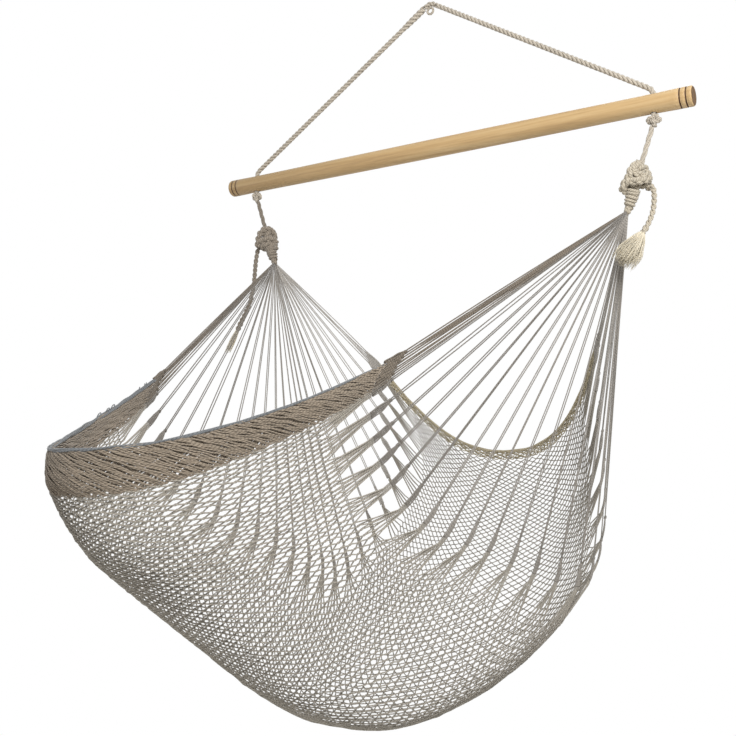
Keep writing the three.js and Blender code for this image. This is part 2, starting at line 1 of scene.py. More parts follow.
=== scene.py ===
# %% [markdown]
# # A hammock chair
# A net of cotton cord hangs by two fans of strings from ropes, and the ropes hang from a turned
# wooden bar and one hook. The plain solids of the chair come first, as a fixed frame in metres,
# with the origin at the hook. Every cell below makes one piece of the real chair in that frame.

import bpy
import math
import numpy as np
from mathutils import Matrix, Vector


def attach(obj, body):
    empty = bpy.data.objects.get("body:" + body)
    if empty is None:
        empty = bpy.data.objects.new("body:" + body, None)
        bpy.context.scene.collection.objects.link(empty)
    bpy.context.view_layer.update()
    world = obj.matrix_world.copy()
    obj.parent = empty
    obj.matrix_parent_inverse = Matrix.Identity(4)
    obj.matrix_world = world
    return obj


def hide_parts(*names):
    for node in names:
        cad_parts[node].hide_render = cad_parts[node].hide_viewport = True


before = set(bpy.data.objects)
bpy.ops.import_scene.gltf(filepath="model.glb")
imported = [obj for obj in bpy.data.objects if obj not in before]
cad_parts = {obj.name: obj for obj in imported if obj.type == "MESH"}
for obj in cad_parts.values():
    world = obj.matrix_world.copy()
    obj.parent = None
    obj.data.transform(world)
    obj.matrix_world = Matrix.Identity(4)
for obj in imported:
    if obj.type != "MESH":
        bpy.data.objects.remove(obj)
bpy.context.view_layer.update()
MM = 0.001
SIDES = {"left": -1, "right": 1}


def new_object(name, data):
    made = bpy.data.objects.new(name, data)
    bpy.context.scene.collection.objects.link(made)
    return made


# %% [markdown]
# ## Camera
# The chair is seen from below its bar and from its open front, a little to one side. A camera that
# stands level with the seat and tilts up by six degrees gives that view, with a normal lens.

# %% Camera
LENS_MM, DEGREES_UP, DEGREES_ROUND = 48.91, 6.18, 32.92
camera = new_object("camera", bpy.data.cameras.new("camera"))
camera.data.sensor_width = 36
camera.data.lens = LENS_MM
camera.location = (0.9332, -1.6709, -0.9246)
camera.rotation_euler = (math.radians(90 + DEGREES_UP), 0, math.radians(DEGREES_ROUND))
camera.data.clip_start, camera.data.clip_end = 0.05, 50
bpy.context.scene.camera = camera
print("camera:", [round(v, 3) for v in camera.location])

# %% [markdown]
# ## Helpers for materials
# A colour is written as it would be picked on a screen, in sRGB, and one function turns it to the
# linear values that Blender reckons with. Another adds one node, with its settings and its links,
# so a material reads as a list of what feeds what. The rest name the few kinds of node that the
# materials here repeat: a sum, a change of range, a noise, a bump, a colour ramp and the skin.


# %% Colour and node helpers
def colour(hex_value):
    parts = [int(hex_value[i : i + 2], 16) / 255 for i in (1, 3, 5)]
    return [c / 12.92 if c < 0.04045 else ((c + 0.055) / 1.055) ** 2.4 for c in parts] + [1]


def add(tree, kind, inputs=None, **settings):
    node = tree.nodes.new(kind)
    for name, value in settings.items():
        setattr(node, name, value)
    for name, value in (inputs or {}).items():
        if isinstance(value, bpy.types.NodeSocket):
            tree.links.new(value, node.inputs[name])
        else:
            node.inputs[name].default_value = value
    return node


def calc(tree, operation, *values):
    return add(tree, "ShaderNodeMath", dict(enumerate(values)), operation=operation).outputs[0]


def remap(tree, value, *ends):
    """The value, with the range of the first two ends carried to the range of the last two."""
    return add(tree, "ShaderNodeMapRange", dict(enumerate((value, *ends)))).outputs[0]


def noise(tree, place, scale, detail, **more):
    inputs = {"Vector": place, "Scale": scale, "Detail": detail, **more}
    return add(tree, "ShaderNodeTexNoise", inputs).outputs[0]


def object_place(tree):
    return add(tree, "ShaderNodeTexCoord").outputs["Object"]


def mapped(tree, place, scale, **more):
    inputs = {"Vector": place, "Scale": scale, **more}
    return add(tree, "ShaderNodeMapping", inputs).outputs[0]


def bump(tree, height, distance, strength):
    inputs = {"Height": height, "Distance": distance, "Strength": strength}
    return add(tree, "ShaderNodeBump", inputs).outputs[0]


def scaled(tree, tone, factor):
    inputs = {0: tone, "Scale": factor}
    return add(tree, "ShaderNodeVectorMath", inputs, operation="SCALE").outputs[0]


def two_tones(tree, factor, dark, light):
    tones = add(tree, "ShaderNodeValToRGB", {0: factor})
    ramp = tones.color_ramp.elements
    ramp[0].color, ramp[1].color = colour(dark), colour(light)
    return tones


def blank_material(name):
    material = bpy.data.materials.new(name)
    material.use_nodes = True
    material.node_tree.nodes.clear()
    return material, material.node_tree


def skin(tree, inputs):
    shader = add(tree, "ShaderNodeBsdfPrincipled", {"IOR": 1.5, **inputs})
    add(tree, "ShaderNodeOutputMaterial", {"Surface": shader.outputs[0]})


# %% [markdown]
# ## Cotton cord
# Every cord here is unbleached cotton, spun into yarns that are twisted or plaited. It has no
# gloss, only a soft fuzz that catches light at grazing angles, and the grooves between the yarns
# are painted darker than their crowns, as painted shade. The pattern follows each tube: its map
# gives metres along the cord, and once round it from 0 to 1, so slanting stripes of a known number
# of plies and a known lay come from one sum. Real plies of the net's strands are under a
# millimetre, and are drawn at that size.
# Each kind of cord has a tone of its own, which wanders a little from place to place. Some of
# these tones are painted shade: the strings are darker towards the front and paler at the back,
# and the left arm's ropes are darker than the right's.


# %% Cotton materials
def cotton_cord(name, crown, groove_shade, lay_mm, plies, depth_mm, shade=0.10):
    """Twisted cotton. Shade says how much its tone wanders from one hand's width to the next."""
    material, tree = blank_material(name)
    place = add(tree, "ShaderNodeUVMap", uv_map="cord").outputs[0]
    along, around, _ = add(tree, "ShaderNodeSeparateXYZ", {0: place}).outputs
    turned = calc(tree, "MULTIPLY", around, plies)
    slant = calc(tree, "MULTIPLY_ADD", along, 1 / (lay_mm * MM), turned)
    ply = calc(tree, "PINGPONG", slant, 0.5)
    # A power below one makes broad crowns and narrow grooves
    round_ply = calc(tree, "POWER", ply, 0.45)
    where = object_place(tree)
    # Fibres are about a millimetre long, and handling marks about a hand wide
    fibre = noise(tree, where, 900, 2, Roughness=0.6)
    handling = noise(tree, where, 9, 3)
    # Painted shade: the grooves between the plies take the darker groove tone, and the crowns the
    # paler one
    mixed = add(
        tree,
        "ShaderNodeMix",
        {"Factor": round_ply, "A": colour(groove_shade), "B": colour(crown)},
        data_type="RGBA",
    )
    tone = remap(tree, handling, 0.3, 0.7, 1 - shade, 1 + shade / 2)
    fuzz = remap(tree, fibre, 0.3, 0.7, 0.93, 1.05)
    both = calc(tree, "MULTIPLY", tone, fuzz)
    shaded = scaled(tree, mixed.outputs["Result"], both)
    height = calc(tree, "MULTIPLY_ADD", fibre, 0.15, round_ply)
    skin(
        tree,
        {
            "Base Color": shaded,
            "Roughness": 0.92,
            "Specular IOR Level": 0.15,
            "Sheen Weight": 0.25,
            "Sheen Roughness": 0.5,
            "Normal": bump(tree, height, depth_mm * MM, 0.8),
        },
    )
    return material


STRAND = {"lay_mm": 5, "plies": 2, "depth_mm": 0.5}
ROPE_STRAND = {"lay_mm": 3, "plies": 5, "depth_mm": 0.4}
YARN = {"lay_mm": 4, "plies": 3, "depth_mm": 0.4}
FIBRE = {"lay_mm": 3, "plies": 2, "depth_mm": 0.2}
HANDLED = 0.14
net_cotton = cotton_cord("net_cotton_two_ply", "#beb7ab", "#625c53", **STRAND)
# Band strings are as brown as the band; the others carry painted shade, dark in front, pale behind
string_cotton_painted_shade = {
    "band": cotton_cord("band_string_two_ply", "#8f8476", "#443b31", **STRAND, shade=HANDLED),
    "front": cotton_cord("front_string_two_ply", "#99938b", "#514c46", **STRAND),
    "seat": cotton_cord("seat_string_two_ply", "#aea8a0", "#645f59", **STRAND),
    "back": cotton_cord("back_string_two_ply", "#cbc6bf", "#86817a", **STRAND),
}
edge_cotton = cotton_cord("edge_cotton_gathered", "#aea08e", "#463c32", **STRAND, shade=HANDLED)
edge_cord_cotton = cotton_cord("edge_cord_grey", "#838688", "#4c4e51", **STRAND, shade=HANDLED)
back_cotton = cotton_cord("back_edge_cotton", "#c9bea3", "#958970", **STRAND, shade=HANDLED)
rope_cotton = cotton_cord("bridle_rope_strand", "#d0c7b8", "#9a9082", **ROPE_STRAND)
braid_cotton = cotton_cord("braid_cotton_yarn", "#d6cdbb", "#857a68", **YARN)
brush_cotton = cotton_cord("frayed_cotton_fibre", "#ece6d8", "#c0b18e", **FIBRE)
# Painted shade: the left arm's rope and braid are painted darker than the right one's
arm_rope_cotton = {
    "left": cotton_cord("left_rope_painted_shade", "#a3998c", "#5f574c", **ROPE_STRAND),
    "right": rope_cotton,
}
arm_braid_cotton = {
    "left": cotton_cord("left_braid_painted_shade", "#aea395", "#5a5145", **YARN),
    "right": braid_cotton,
}
print("materials:", len(bpy.data.materials))

# %% [markdown]
# ## Tubes along lines
# A cord is a tube round a line. Curves with a bevel could make it, but the chair has hundreds of
# strands, so one function builds all the tubes of a piece in one mesh, from arrays. It carries a
# frame of two directions along every line without twist, puts a ring of points at every step, and
# writes the map that the cotton needs.


# %% Lines, frames and tubes
def unit(v):
    return v / np.maximum(np.linalg.norm(v, axis=-1, keepdims=True), 1e-12)


def run_along(line):
    """The distance along a line to each of its points."""
    return np.concatenate([[0], np.cumsum(np.linalg.norm(np.diff(line, axis=0), axis=1))])


def even(line, step):
    """The same line with points at an even spacing of about one step."""
    line = np.asarray(line, float)
    run = run_along(line)
    count = max(2, int(round(run[-1] / step)) + 1)
    at = np.linspace(0, run[-1], count)
    return np.stack([np.interp(at, run, line[:, i]) for i in range(3)], axis=1)


def carried_frames(lines):
    """Along every line, two directions square to it that don't twist."""
    ahead = unit(np.gradient(lines, axis=1))
    # The first direction is square to one that no line here follows
    start = np.cross(ahead[:, 0], [0.31, 0.87, 0.38])
    across = np.empty_like(lines)
    across[:, 0] = unit(start)
    for i in range(1, lines.shape[1]):
        kept = across[:, i - 1]
        kept = kept - ahead[:, i] * np.sum(kept * ahead[:, i], axis=1, keepdims=True)
        across[:, i] = unit(kept)
    return across, np.cross(ahead, across)


def tubes(lines, radius, sides=6):
    """Tubes round lines of shape (count, points, 3). The radius is one value or one per point."""
    lines = np.asarray(lines, float)
    count, points, _ = lines.shape
    radius = np.broadcast_to(radius, (count, points))
    across, over = carried_frames(lines)
    turn = 2 * math.pi * np.arange(sides) / sides
    ring = across[:, :, None] * np.cos(turn)[:, None] + over[:, :, None] * np.sin(turn)[:, None]
    verts = lines[:, :, None] + ring * radius[:, :, None, None]
    run = np.array([run_along(line) for line in lines])
    k = np.arange(sides)
    first = (np.arange(count)[:, None] * points + np.arange(points - 1))[:, :, None] * sides
    near, next_ = first + k, first + (k + 1) % sides
    quads = np.stack([near, next_, next_ + sides, near + sides], axis=-1)
    u0, u1, v0 = np.broadcast_arrays(run[:, :-1, None], run[:, 1:, None], k / sides)
    v1 = v0 + 1 / sides
    uv = np.stack([u0, v0, u0, v1, u1, v1, u1, v0], axis=-1).reshape(-1, 4, 2)
    ends = np.arange(count)[:, None] * points * sides
    caps = np.concatenate([ends + k[::-1], ends + (points - 1) * sides + k])
    return {"verts": verts.reshape(-1, 3), "quads": quads.reshape(-1, 4), "uv": uv, "caps": caps}


def piece(name, parts, material, body, nodes=()):
    """One object from a list of tubes, riding on a body and standing for its solids."""
    verts = np.concatenate([p["verts"] for p in parts])
    loops, totals, uvs, offset = [], [], [], 0
    for p in parts:
        loops.append((p["quads"] + offset).ravel())
        totals.append(np.full(len(p["quads"]), 4))
        uvs.append(p["uv"].reshape(-1, 2))
        loops.append((p["caps"] + offset).ravel())
        totals.append(np.full(len(p["caps"]), p["caps"].shape[1]))
        uvs.append(np.zeros((p["caps"].size, 2)))
        offset += len(p["verts"])
    loops, totals, uvs = np.concatenate(loops), np.concatenate(totals), np.concatenate(uvs)
    mesh = bpy.data.meshes.new(name)
    mesh.vertices.add(len(verts))
    mesh.vertices.foreach_set("co", verts.astype(np.float32).ravel())
    mesh.loops.add(len(loops))
    mesh.loops.foreach_set("vertex_index", loops.astype(np.int32))
    mesh.polygons.add(len(totals))
    starts = np.concatenate([[0], np.cumsum(totals)[:-1]])
    mesh.polygons.foreach_set("loop_start", starts.astype(np.int32))
    mesh.polygons.foreach_set("loop_total", totals.astype(np.int32))
    mesh.polygons.foreach_set("use_smooth", np.ones(len(totals), bool))
    mesh.uv_layers.new(name="cord").data.foreach_set("uv", uvs.astype(np.float32).ravel())
    mesh.update()
    mesh.validate()
    mesh.materials.append(material)
    made = new_object(name, mesh)
    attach(made, body)
    if nodes:
        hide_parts(*nodes)
    print(f"{name}: {len(verts)} points, {len(totals)} faces")
    return made


# %% [markdown]
# ## Laid rope, plait and braid
# A laid rope is three strands that wind round one another. A round plait is eight yarns of which
# four wind each way, passing over and under in turn. A flat braid is three yarns that swing from
# edge to edge, each over the next. All of them are waves round a line. The strands of the rope
# touch when each is a little under half the rope's radius, and the yarns of the plait swing in and
# out where they cross.


# %% Rope, plait and braid
def guide(line, step, swell):
    """Even points of a line, two ways square to it, the distance to each and its width there."""
    line = even(line, step)
    across, over = (f[0] for f in carried_frames(line[None]))
    run = run_along(line)
    wide = np.ones(len(line)) if swell is None else np.interp(run / run[-1], *swell)
    return line, across, over, run, wide


def round_line(line, across, over, turn, out):
    """A line that winds round another one, out from it at an angle."""
    way = across * np.cos(turn)[:, None] + over * np.sin(turn)[:, None]
    return line + way * out[:, None]


def strand_part(strands):
    """The share of a rope's radius that each of its strands has, where they just touch."""
    return 1 / (1 + 1 / math.sin(math.pi / strands))


def laid_rope(line, radius, lay, swell=None, strands=3, sides=7):
    """Strands that wind round a line. Swell widens the rope by a factor at each point."""
    line, across, over, run, wide = guide(line, lay / 12, swell)
    part, squeeze = strand_part(strands), 1.06
    lines = []
    for k in range(strands):
        turn = 2 * math.pi * (run / lay + k / strands)
        lines.append(round_line(line, across, over, turn, radius * (1 - part) * wide))
    return tubes(lines, radius * part * squeeze * wide, sides)


def plait(line, radius, pitch, swell=None, yarns=4, sides=6):
    """A round plait: as many yarns wind each way, over one and under one."""
    line, across, over, run, wide = guide(line, pitch / 16, swell)
    thick = radius * 0.40
    swing = thick * 0.45
    lines = []
    for way in (1, -1):
        for k in range(yarns):
            turn = 2 * math.pi * (way * run / pitch + k / yarns)
            dip = way * swing * np.cos(yarns * 2 * math.pi * run / pitch)
            out = (radius - thick - swing) + dip
            lines.append(round_line(line, across, over, turn, out * wide))
    return tubes(lines, thick * wide, sides)


def braid(line, radius, pitch, swell=None, sides=7):
    """A flat braid of three yarns, each crossing over the next from edge to edge."""
    line, across, over, run, wide = guide(line, pitch / 18, swell)
    yarn, rise = radius * 0.5, radius * 0.4
    lines = []
    for k in range(3):
        turn = 2 * math.pi * (run / pitch + k / 3)
        aside = (radius - yarn) * np.sin(turn)
        high = rise * np.sin(2 * turn)
        lines.append(line + across * (aside * wide)[:, None] + over * (high * wide)[:, None])
    return tubes(lines, yarn * wide, sides)


def smooth_at(a, b, c, d, t):
    """The place at share t from b to c, on the Catmull-Rom line through four points."""
    bend, twist = 2 * a - 5 * b + 4 * c - d, 3 * b - a - 3 * c + d
    return 0.5 * (2 * b + (c - a) * t + bend * t**2 + twist * t**3)


def smooth_line(points, steps=12):
    """A smooth line through points in millimetres, as points in metres."""
    p = np.asarray(points, float) * MM
    p = np.vstack([2 * p[0] - p[1], p, 2 * p[-1] - p[-2]])
    line = []
    for a, b, c, d in zip(p, p[1:], p[2:], p[3:]):
        for t in np.linspace(0, 1, steps, endpoint=False):
            line.append(smooth_at(a, b, c, d, t))
    return np.array(line + [p[-2]])


def bent(start, corner, end, count):
    """A line from start to end that bends towards a corner on its way."""
    t = np.linspace(0, 1, count)[:, None]
    return (1 - t) ** 2 * start + 2 * t * (1 - t) * corner + t**2 * end


print("a rope's strand:", round(strand_part(3), 3), "of its radius")

# %% [markdown]
# ## Spreader bar
# The bar is turned from one straight pale stick: its ends swell a little, their edges are rounded,
# and two rings near each end are burned in with a wire. The rope goes down through a hole at each
# end. A lathe outline spun round the X axis gives the form, and two drilled holes are cut from it.
# The wood is sanded and oiled, so the grain shows as fine streaks along it, with a soft sheen.


# %% Wood and burned wood
def bar_wood():
    material, tree = blank_material("oiled_pale_hardwood")
    where = object_place(tree)
    # Pores and streaks are 20 to 60 mm long and about a millimetre wide
    pores = noise(tree, mapped(tree, where, (18, 420, 420)), 1, 5, Roughness=0.6)
    # Broad bands of growth are half a metre long and 13 mm wide
    bands = noise(tree, mapped(tree, where, (2.2, 75, 75)), 1, 3, Distortion=0.6)
    figure = calc(tree, "MULTIPLY_ADD", pores, 0.45, bands)
    tones = two_tones(tree, figure, "#a18359", "#c9ae82")
    ramp = tones.color_ramp.elements
    ramp[0].position, ramp[1].position = 0.45, 0.95
    ramp.new(0.68).color = colour("#bb9b6c")
    # Painted shade: the stick is painted a little darker towards its left end
    along = add(tree, "ShaderNodeSeparateXYZ", {0: where}).outputs[0]
    shade = remap(tree, along, -0.42, -0.12, 0.74, 1)
    wood = scaled(tree, tones.outputs[0], shade)
    relief = bump(tree, pores, 0.15 * MM, 0.5)
    rough = remap(tree, pores, 0.3, 0.7, 0.42, 0.6)
    skin(tree, {"Base Color": wood, "Roughness": rough, "Normal": relief})
    return material


def burned_wood():
    material, tree = blank_material("burned_ring_wood")
    where = object_place(tree)
    tones = two_tones(tree, noise(tree, where, 400, 3), "#2a1a10", "#5b3d24")
    skin(tree, {"Base Color": tones.outputs[0], "Roughness": 0.85})
    return material


def end_grain():
    material, tree = blank_material("oiled_end_grain")
    where = object_place(tree)
    # Growth rings 2 mm apart, round a heart that lies off the middle
    off = mapped(tree, where, (0, 1, 1), Location=(0, 0.02, 0.292))
    rings = add(
        tree,
        "ShaderNodeTexWave",
        {"Vector": off, "Scale": 26, "Distortion": 1.2, "Detail": 2},
        wave_type="RINGS",
        rings_direction="X",
    )
    # End grain is darker than the long grain, and these tones are painted darker still, as painted
    # shade
    tones = two_tones(tree, rings.outputs[1], "#523b22", "#735636")
    skin(tree, {"Base Color": tones.outputs[0], "Roughness": 0.75})
    return material


BAR_FINISHES = (bar_wood(), burned_wood(), end_grain())
WOOD, BURNED, END_GRAIN = range(3)
print("wood:", [material.name for material in BAR_FINISHES])

# %% The bar
BAR_Z = -284 * MM
BAR_LENGTH, BAR_RADIUS, BAR_END, BAR_NECK = 1018 * MM, 18 * MM, 17.8 * MM, 17.2 * MM
EDGE, EDGE_TURNS = 3 * MM, np.radians([75, 60, 45, 30, 15])
RINGS = (10 * MM, 20.7 * MM)
RING_GROOVE = ((-1.3, 0), (-0.8, 0.4), (0, 0.6), (0.8, 0.4), (1.3, 0))
BURNED_HALF = 1.25 * MM
END_FACE = 0.4 * MM
HOLE_X, HOLE_RADIUS, DRILL_LENGTH = 440 * MM, 6 * MM, 60 * MM
CRISP = math.radians(40)


def bar_outline():
    """Distance from the end and radius, from one end to the middle, in metres."""
    outline = [(0, 0), (0, BAR_END * 0.5), (0, BAR_END - EDGE)]
    for turn in EDGE_TURNS:
        outline.append((EDGE * (1 - math.sin(turn)), BAR_END - EDGE * (1 - math.cos(turn))))
    outline.append((EDGE, BAR_END))
    for middle in RINGS:
        outline += [(middle + away * MM, BAR_END - deep * MM) for away, deep in RING_GROOVE]
    outline += [(30 * MM, BAR_END), (45 * MM, BAR_END - 0.3 * MM), (69 * MM, BAR_NECK)]
    outline += [(138 * MM, BAR_NECK), (300 * MM, BAR_NECK + 0.55 * MM)]
    return outline + [(BAR_LENGTH / 2, BAR_RADIUS)]


def bar_finish(x):
    from_end = BAR_LENGTH / 2 - abs(x)
    if from_end < END_FACE:
        return END_GRAIN
    return BURNED if any(abs(from_end - ring) < BURNED_HALF for ring in RINGS) else WOOD


def make_bar(sides=96):
    half = bar_outline()
    outline = [(x - BAR_LENGTH / 2, r) for x, r in half]
    outline += [(BAR_LENGTH / 2 - x, r) for x, r in reversed(half[:-1])]
    verts, faces, finishes = [(outline[0][0], 0, BAR_Z)], [], []
    for x, r in outline[1:-1]:
        for k in range(sides):
            turn = 2 * math.pi * k / sides
            verts.append((x, r * math.sin(turn), BAR_Z + r * math.cos(turn)))
    verts.append((outline[-1][0], 0, BAR_Z))
    last = len(verts) - 1
    rings = len(outline) - 2
    for k in range(sides):
        after = (k + 1) % sides
        base = 1 + (rings - 1) * sides
        faces += [(0, 1 + after, 1 + k), (last, base + k, base + after)]
        finishes += [END_GRAIN, END_GRAIN]
        for i in range(rings - 1):
            a, b = 1 + i * sides, 1 + (i + 1) * sides
            faces.append((a + k, a + after, b + after, b + k))
            finishes.append(bar_finish((outline[i + 1][0] + outline[i + 2][0]) / 2))
    mesh = bpy.data.meshes.new("spreader_bar_turned")
    mesh.from_pydata(verts, [], faces)
    for material in BAR_FINISHES:
        mesh.materials.append(material)
    mesh.polygons.foreach_set("material_index", finishes)
    mesh.polygons.foreach_set("use_smooth", [True] * len(faces))
    return new_object("spreader_bar_turned", mesh)


def drill_bar(bar):
    for name, side in SIDES.items():
        bpy.ops.mesh.primitive_cylinder_add(
            vertices=48, radius=HOLE_RADIUS, depth=DRILL_LENGTH, location=(side * HOLE_X, 0, BAR_Z)
        )
        drill = bpy.context.object
        drill.name = f"drill_{name}"
        drill.data.materials.append(BAR_FINISHES[END_GRAIN])
        cut = bar.modifiers.new(f"hole_{name}", "BOOLEAN")
        cut.operation, cut.object, cut.solver = "DIFFERENCE", drill, "EXACT"
        cut.material_mode = "TRANSFER"
        bpy.context.view_layer.objects.active = bar
        bpy.ops.object.modifier_apply(modifier=cut.name)
        bpy.data.objects.remove(drill, do_unlink=True)
    # The long faces stay smooth, and the hole's rim and the ends' corners stay crisp
    bar.data.set_sharp_from_angle(angle=CRISP)


bar = make_bar()
drill_bar(bar)
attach(bar, "bar_frame")
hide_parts("spreader_bar")
print("bar:", len(bar.data.polygons), "faces")

# %% [markdown]
# ## Bridle
# One laid rope of cotton, ten millimetres thick, goes over the hook, down to both ends of the bar,
# and through its holes to a knot underneath. Its three strands wind once every 30 mm. The same line
# that guided the solids guides the strands here: a half circle round the hook's turn, two straight
# legs and a bend above each hole. The left leg has its end tucked back in just below the top, so it
# is thicker there.

# %% Bridle rope
ROPE, ROPE_LAY, ROPE_STEP = 5 * MM, 30 * MM, 2 * MM
CROWN_RADIUS, CROWN_HALF, LEG_FROM = 14.3 * MM, 12.9 * MM, 13.15 * MM
HOOK_TURN, HOOK_STRAND, HOOK_LAY = 6.5 * MM, 2.5 * MM, 13.6 * MM
BEND, BEND_RISE = 10 * MM, 8 * MM
STOPPER_Z = -314.5 * MM
# The tucked-in end thickens the first 45 mm of the left leg
TUCKED_END = ([0, 0.05, 0.085, 0.11, 1], [1.28, 1.3, 1.18, 1, 1])


def leg_line(side):
    """From the side of the crown to inside the stopper knot, in metres."""
    corner = np.array([HOLE_X, BAR_Z + BAR_NECK + BEND_RISE])
    fall = math.atan2(corner[1], corner[0])
    leave = fall + math.acos(CROWN_RADIUS / np.linalg.norm(corner))
    turns = np.linspace(math.pi / 2, leave, 13)
    points = [CROWN_RADIUS * np.array([math.cos(a), math.sin(a)]) for a in turns]
    down = unit(points[-1] - corner)
    points += list(bent(corner + down * BEND, corner, corner - np.array([0, BEND]), 8))
    points.append(np.array([HOLE_X, STOPPER_Z + BEND_RISE]))
    return even([(side * x, 0, z) for x, z in points], ROPE_STEP)


def rope_piece(name, parts, body, node, material=rope_cotton):
    return piece(name, parts, material, body, [node])


for name, side in SIDES.items():
    line = leg_line(side)
    leg = line[np.abs(line[:, 0]) > LEG_FROM]
    strands = laid_rope(leg, ROPE, ROPE_LAY, TUCKED_END if name == "left" else None)
    rope_piece(f"{name}_bridle_laid", [strands], "bar_frame", f"{name}_bridle_rope")
    print(name, "leg:", round(float(run_along(line)[-1]), 3), "m")

top = np.vstack([leg_line(-1)[::-1], leg_line(1)[1:]])
crown = top[(np.abs(top[:, 0]) < CROWN_HALF) & (top[:, 2] > 0)]
rope_piece("bridle_crown_laid", [laid_rope(crown, ROPE, ROPE_LAY)], "crown", "bridle_crown")
turns = np.linspace(0, 2 * math.pi, 49)
ring = [(HOOK_TURN * math.cos(a), 0, HOOK_TURN * math.sin(a)) for a in turns]
rope_piece("hook_turn_laid", [laid_rope(ring, HOOK_STRAND, HOOK_LAY)], "hook", "hook_turn")

# %% [markdown]
# ## Stopper knots
# A knot is the rope itself, pulled tight. Its line winds twice round a ring while it dips through
# the middle three times, which gives the crossing loops of a bulky overhand knot. In a pulled knot
# the rope squeezes into itself, so its strands lie closer here than in the plain solid, and the
# whole knot is drawn flat against the bar.


# %% Stopper knots
def knot_line(ring, lobe, tilt, side):
    turns, dips, steps = 2, 3, 240
    points = []
    for i in range(steps + 1):
        turn = 2 * math.pi * i / steps
        around = turns * turn + tilt
        out = ring + lobe * math.cos(dips * turn)
        back = lobe * math.sin(dips * turn)
        points.append((side * out * math.cos(around), back, out * math.sin(around)))
    return np.array(points)


KNOT_TILT, KNOT_RISE, KNOT_FLAT = math.radians(-40), 2.5 * MM, (1, 1, 0.6)
KNOT_RING, KNOT_LOBE, KNOT_STRAND, KNOT_LAY = 7.6 * MM, 3.4 * MM, 3.5 * MM, 16 * MM
CORE, CORE_LAY, CORE_UP, CORE_DOWN = 4.6 * MM, 27 * MM, 12 * MM, 13 * MM
for name, side in SIDES.items():
    centre = np.array([side * HOLE_X, 0, STOPPER_Z + KNOT_RISE])
    line = knot_line(KNOT_RING, KNOT_LOBE, KNOT_TILT, side) * KNOT_FLAT + centre
    core = even([centre + (0, 0, CORE_UP), centre - (0, 0, CORE_DOWN)], ROPE_STEP)
    parts = [laid_rope(line, KNOT_STRAND, KNOT_LAY), laid_rope(core, CORE, CORE_LAY)]
    rope_piece(f"{name}_stopper_tied", parts, "bar_frame", f"{name}_stopper_knot")

# %% [markdown]
# ## Arms
# Below each stopper a laid rope drops to a fist-sized knot, tied from a flat braid round a core of
# rope. From the knot a plaited neck, bound with two coils of cord, ends in the eye that the strings
# fan out from. The stopper, the knot and the eye lie on one slanting line. No formula ties these
# bulky knots as they look, so each follows a route of its own, loop by loop.

# %% Drop ropes, arm knots and necks
EYE_X, EYE_Z, KNOT_TO_EYE = 389 * MM, -466 * MM, 60 * MM
# Routes of the braid through the two knots, in millimetres from the knot's middle: aside, back, up
KNOT_ROUTES = {
    "right": [
        *((5, 0, 27), (-6, -6, 17), (-9, -10, 6), (3, -14, -1), (16, -7, 1), (15, 8, 3)),
        *((0, 13, -1), (-15, 8, -5), (-18, -5, -9), (-4, -15, -11), (13, -11, -8), (20, 2, -3)),
        *((18, 8, 12), (9, 4, 22), (-4, -7, 20), (-14, -12, 8), (-19, -8, -6), (-26, 0, -17)),
        *((-21, 7, -23), (-8, 11, -17), (8, 10, -11), (18, 3, -15), (22, 0, -20)),
    ],
    "left": [
        *((-21, 0, -20), (-20, -4, -7), (-15, -6, 9), (-6, -4, 18), (6, 1, 18), (14, 6, 7)),
        *((12, 8, -6), (-2, 11, -13), (-12, 4, -14), (-9, -9, -9), (4, -13, -6), (16, -6, -8)),
        *((15, 7, -13), (1, 12, -19), (-10, 4, -22), (-6, -9, -19), (8, -10, -16), (17, -1, -20)),
        (13, 8, -26),
    ],
}
# The knots' own directions aside and back, turned as they hang
ARM_ASIDE, ARM_BACK = np.array([0.84, 0.54, 0]), np.array([-0.54, 0.84, 0])
DROP, DROP_LAY, DROP_FROM, DROP_TO = 4.6 * MM, 52 * MM, 9 * MM, 20 * MM
KNOT_BRAID, KNOT_PITCH = 7.4 * MM, 36 * MM
KNOT_CORE = {"left": 11 * MM, "right": 9.5 * MM}
NECK, NECK_PITCH, NECK_SWELL = 8 * MM, 26 * MM, ([0, 0.5, 1], [1.15, 1, 0.85])
# Each coil: where it starts below the knot, its length, turns, two radii and its cord, in mm
NECK_COILS = ((23, 30, 5, 10, 6.4, 2.9), (27, 20, 3, 10.6, 8, 2.2))


def arm_points(side):
    stopper = np.array([side * HOLE_X, 0, STOPPER_Z])
    eye = np.array([side * EYE_X, 0, EYE_Z])
    down = unit(eye - stopper)
    return stopper, eye, down, eye - down * KNOT_TO_EYE


def wound(knot, down, rng, below, length, turns, wide, narrow, cord):
    """A cord wound round a line, in a coil that narrows and whose turns lie a little unevenly."""
    aside = unit(np.cross(down, [0, 1, 0]))
    over = np.cross(down, aside)
    start = knot + down * below * MM
    line, tilt, first = [], rng.uniform(1.6, 2.6) * MM, rng.uniform(0, 2)
    for a in np.linspace(0, 1, turns * 20 + 1):
        uneven = 0.6 * math.sin(first + 9.7 * a * turns / 3)
        reach = (wide + (narrow - wide) * a + uneven) * MM
        turn = 2 * math.pi * turns * a
        lean = tilt * math.sin(turn * 1.04 + first)
        out = aside * math.cos(turn) + over * math.sin(turn)
        line.append(start + down * (length * MM * a + lean) + out * reach)
    return tubes([line], cord * MM, 8)


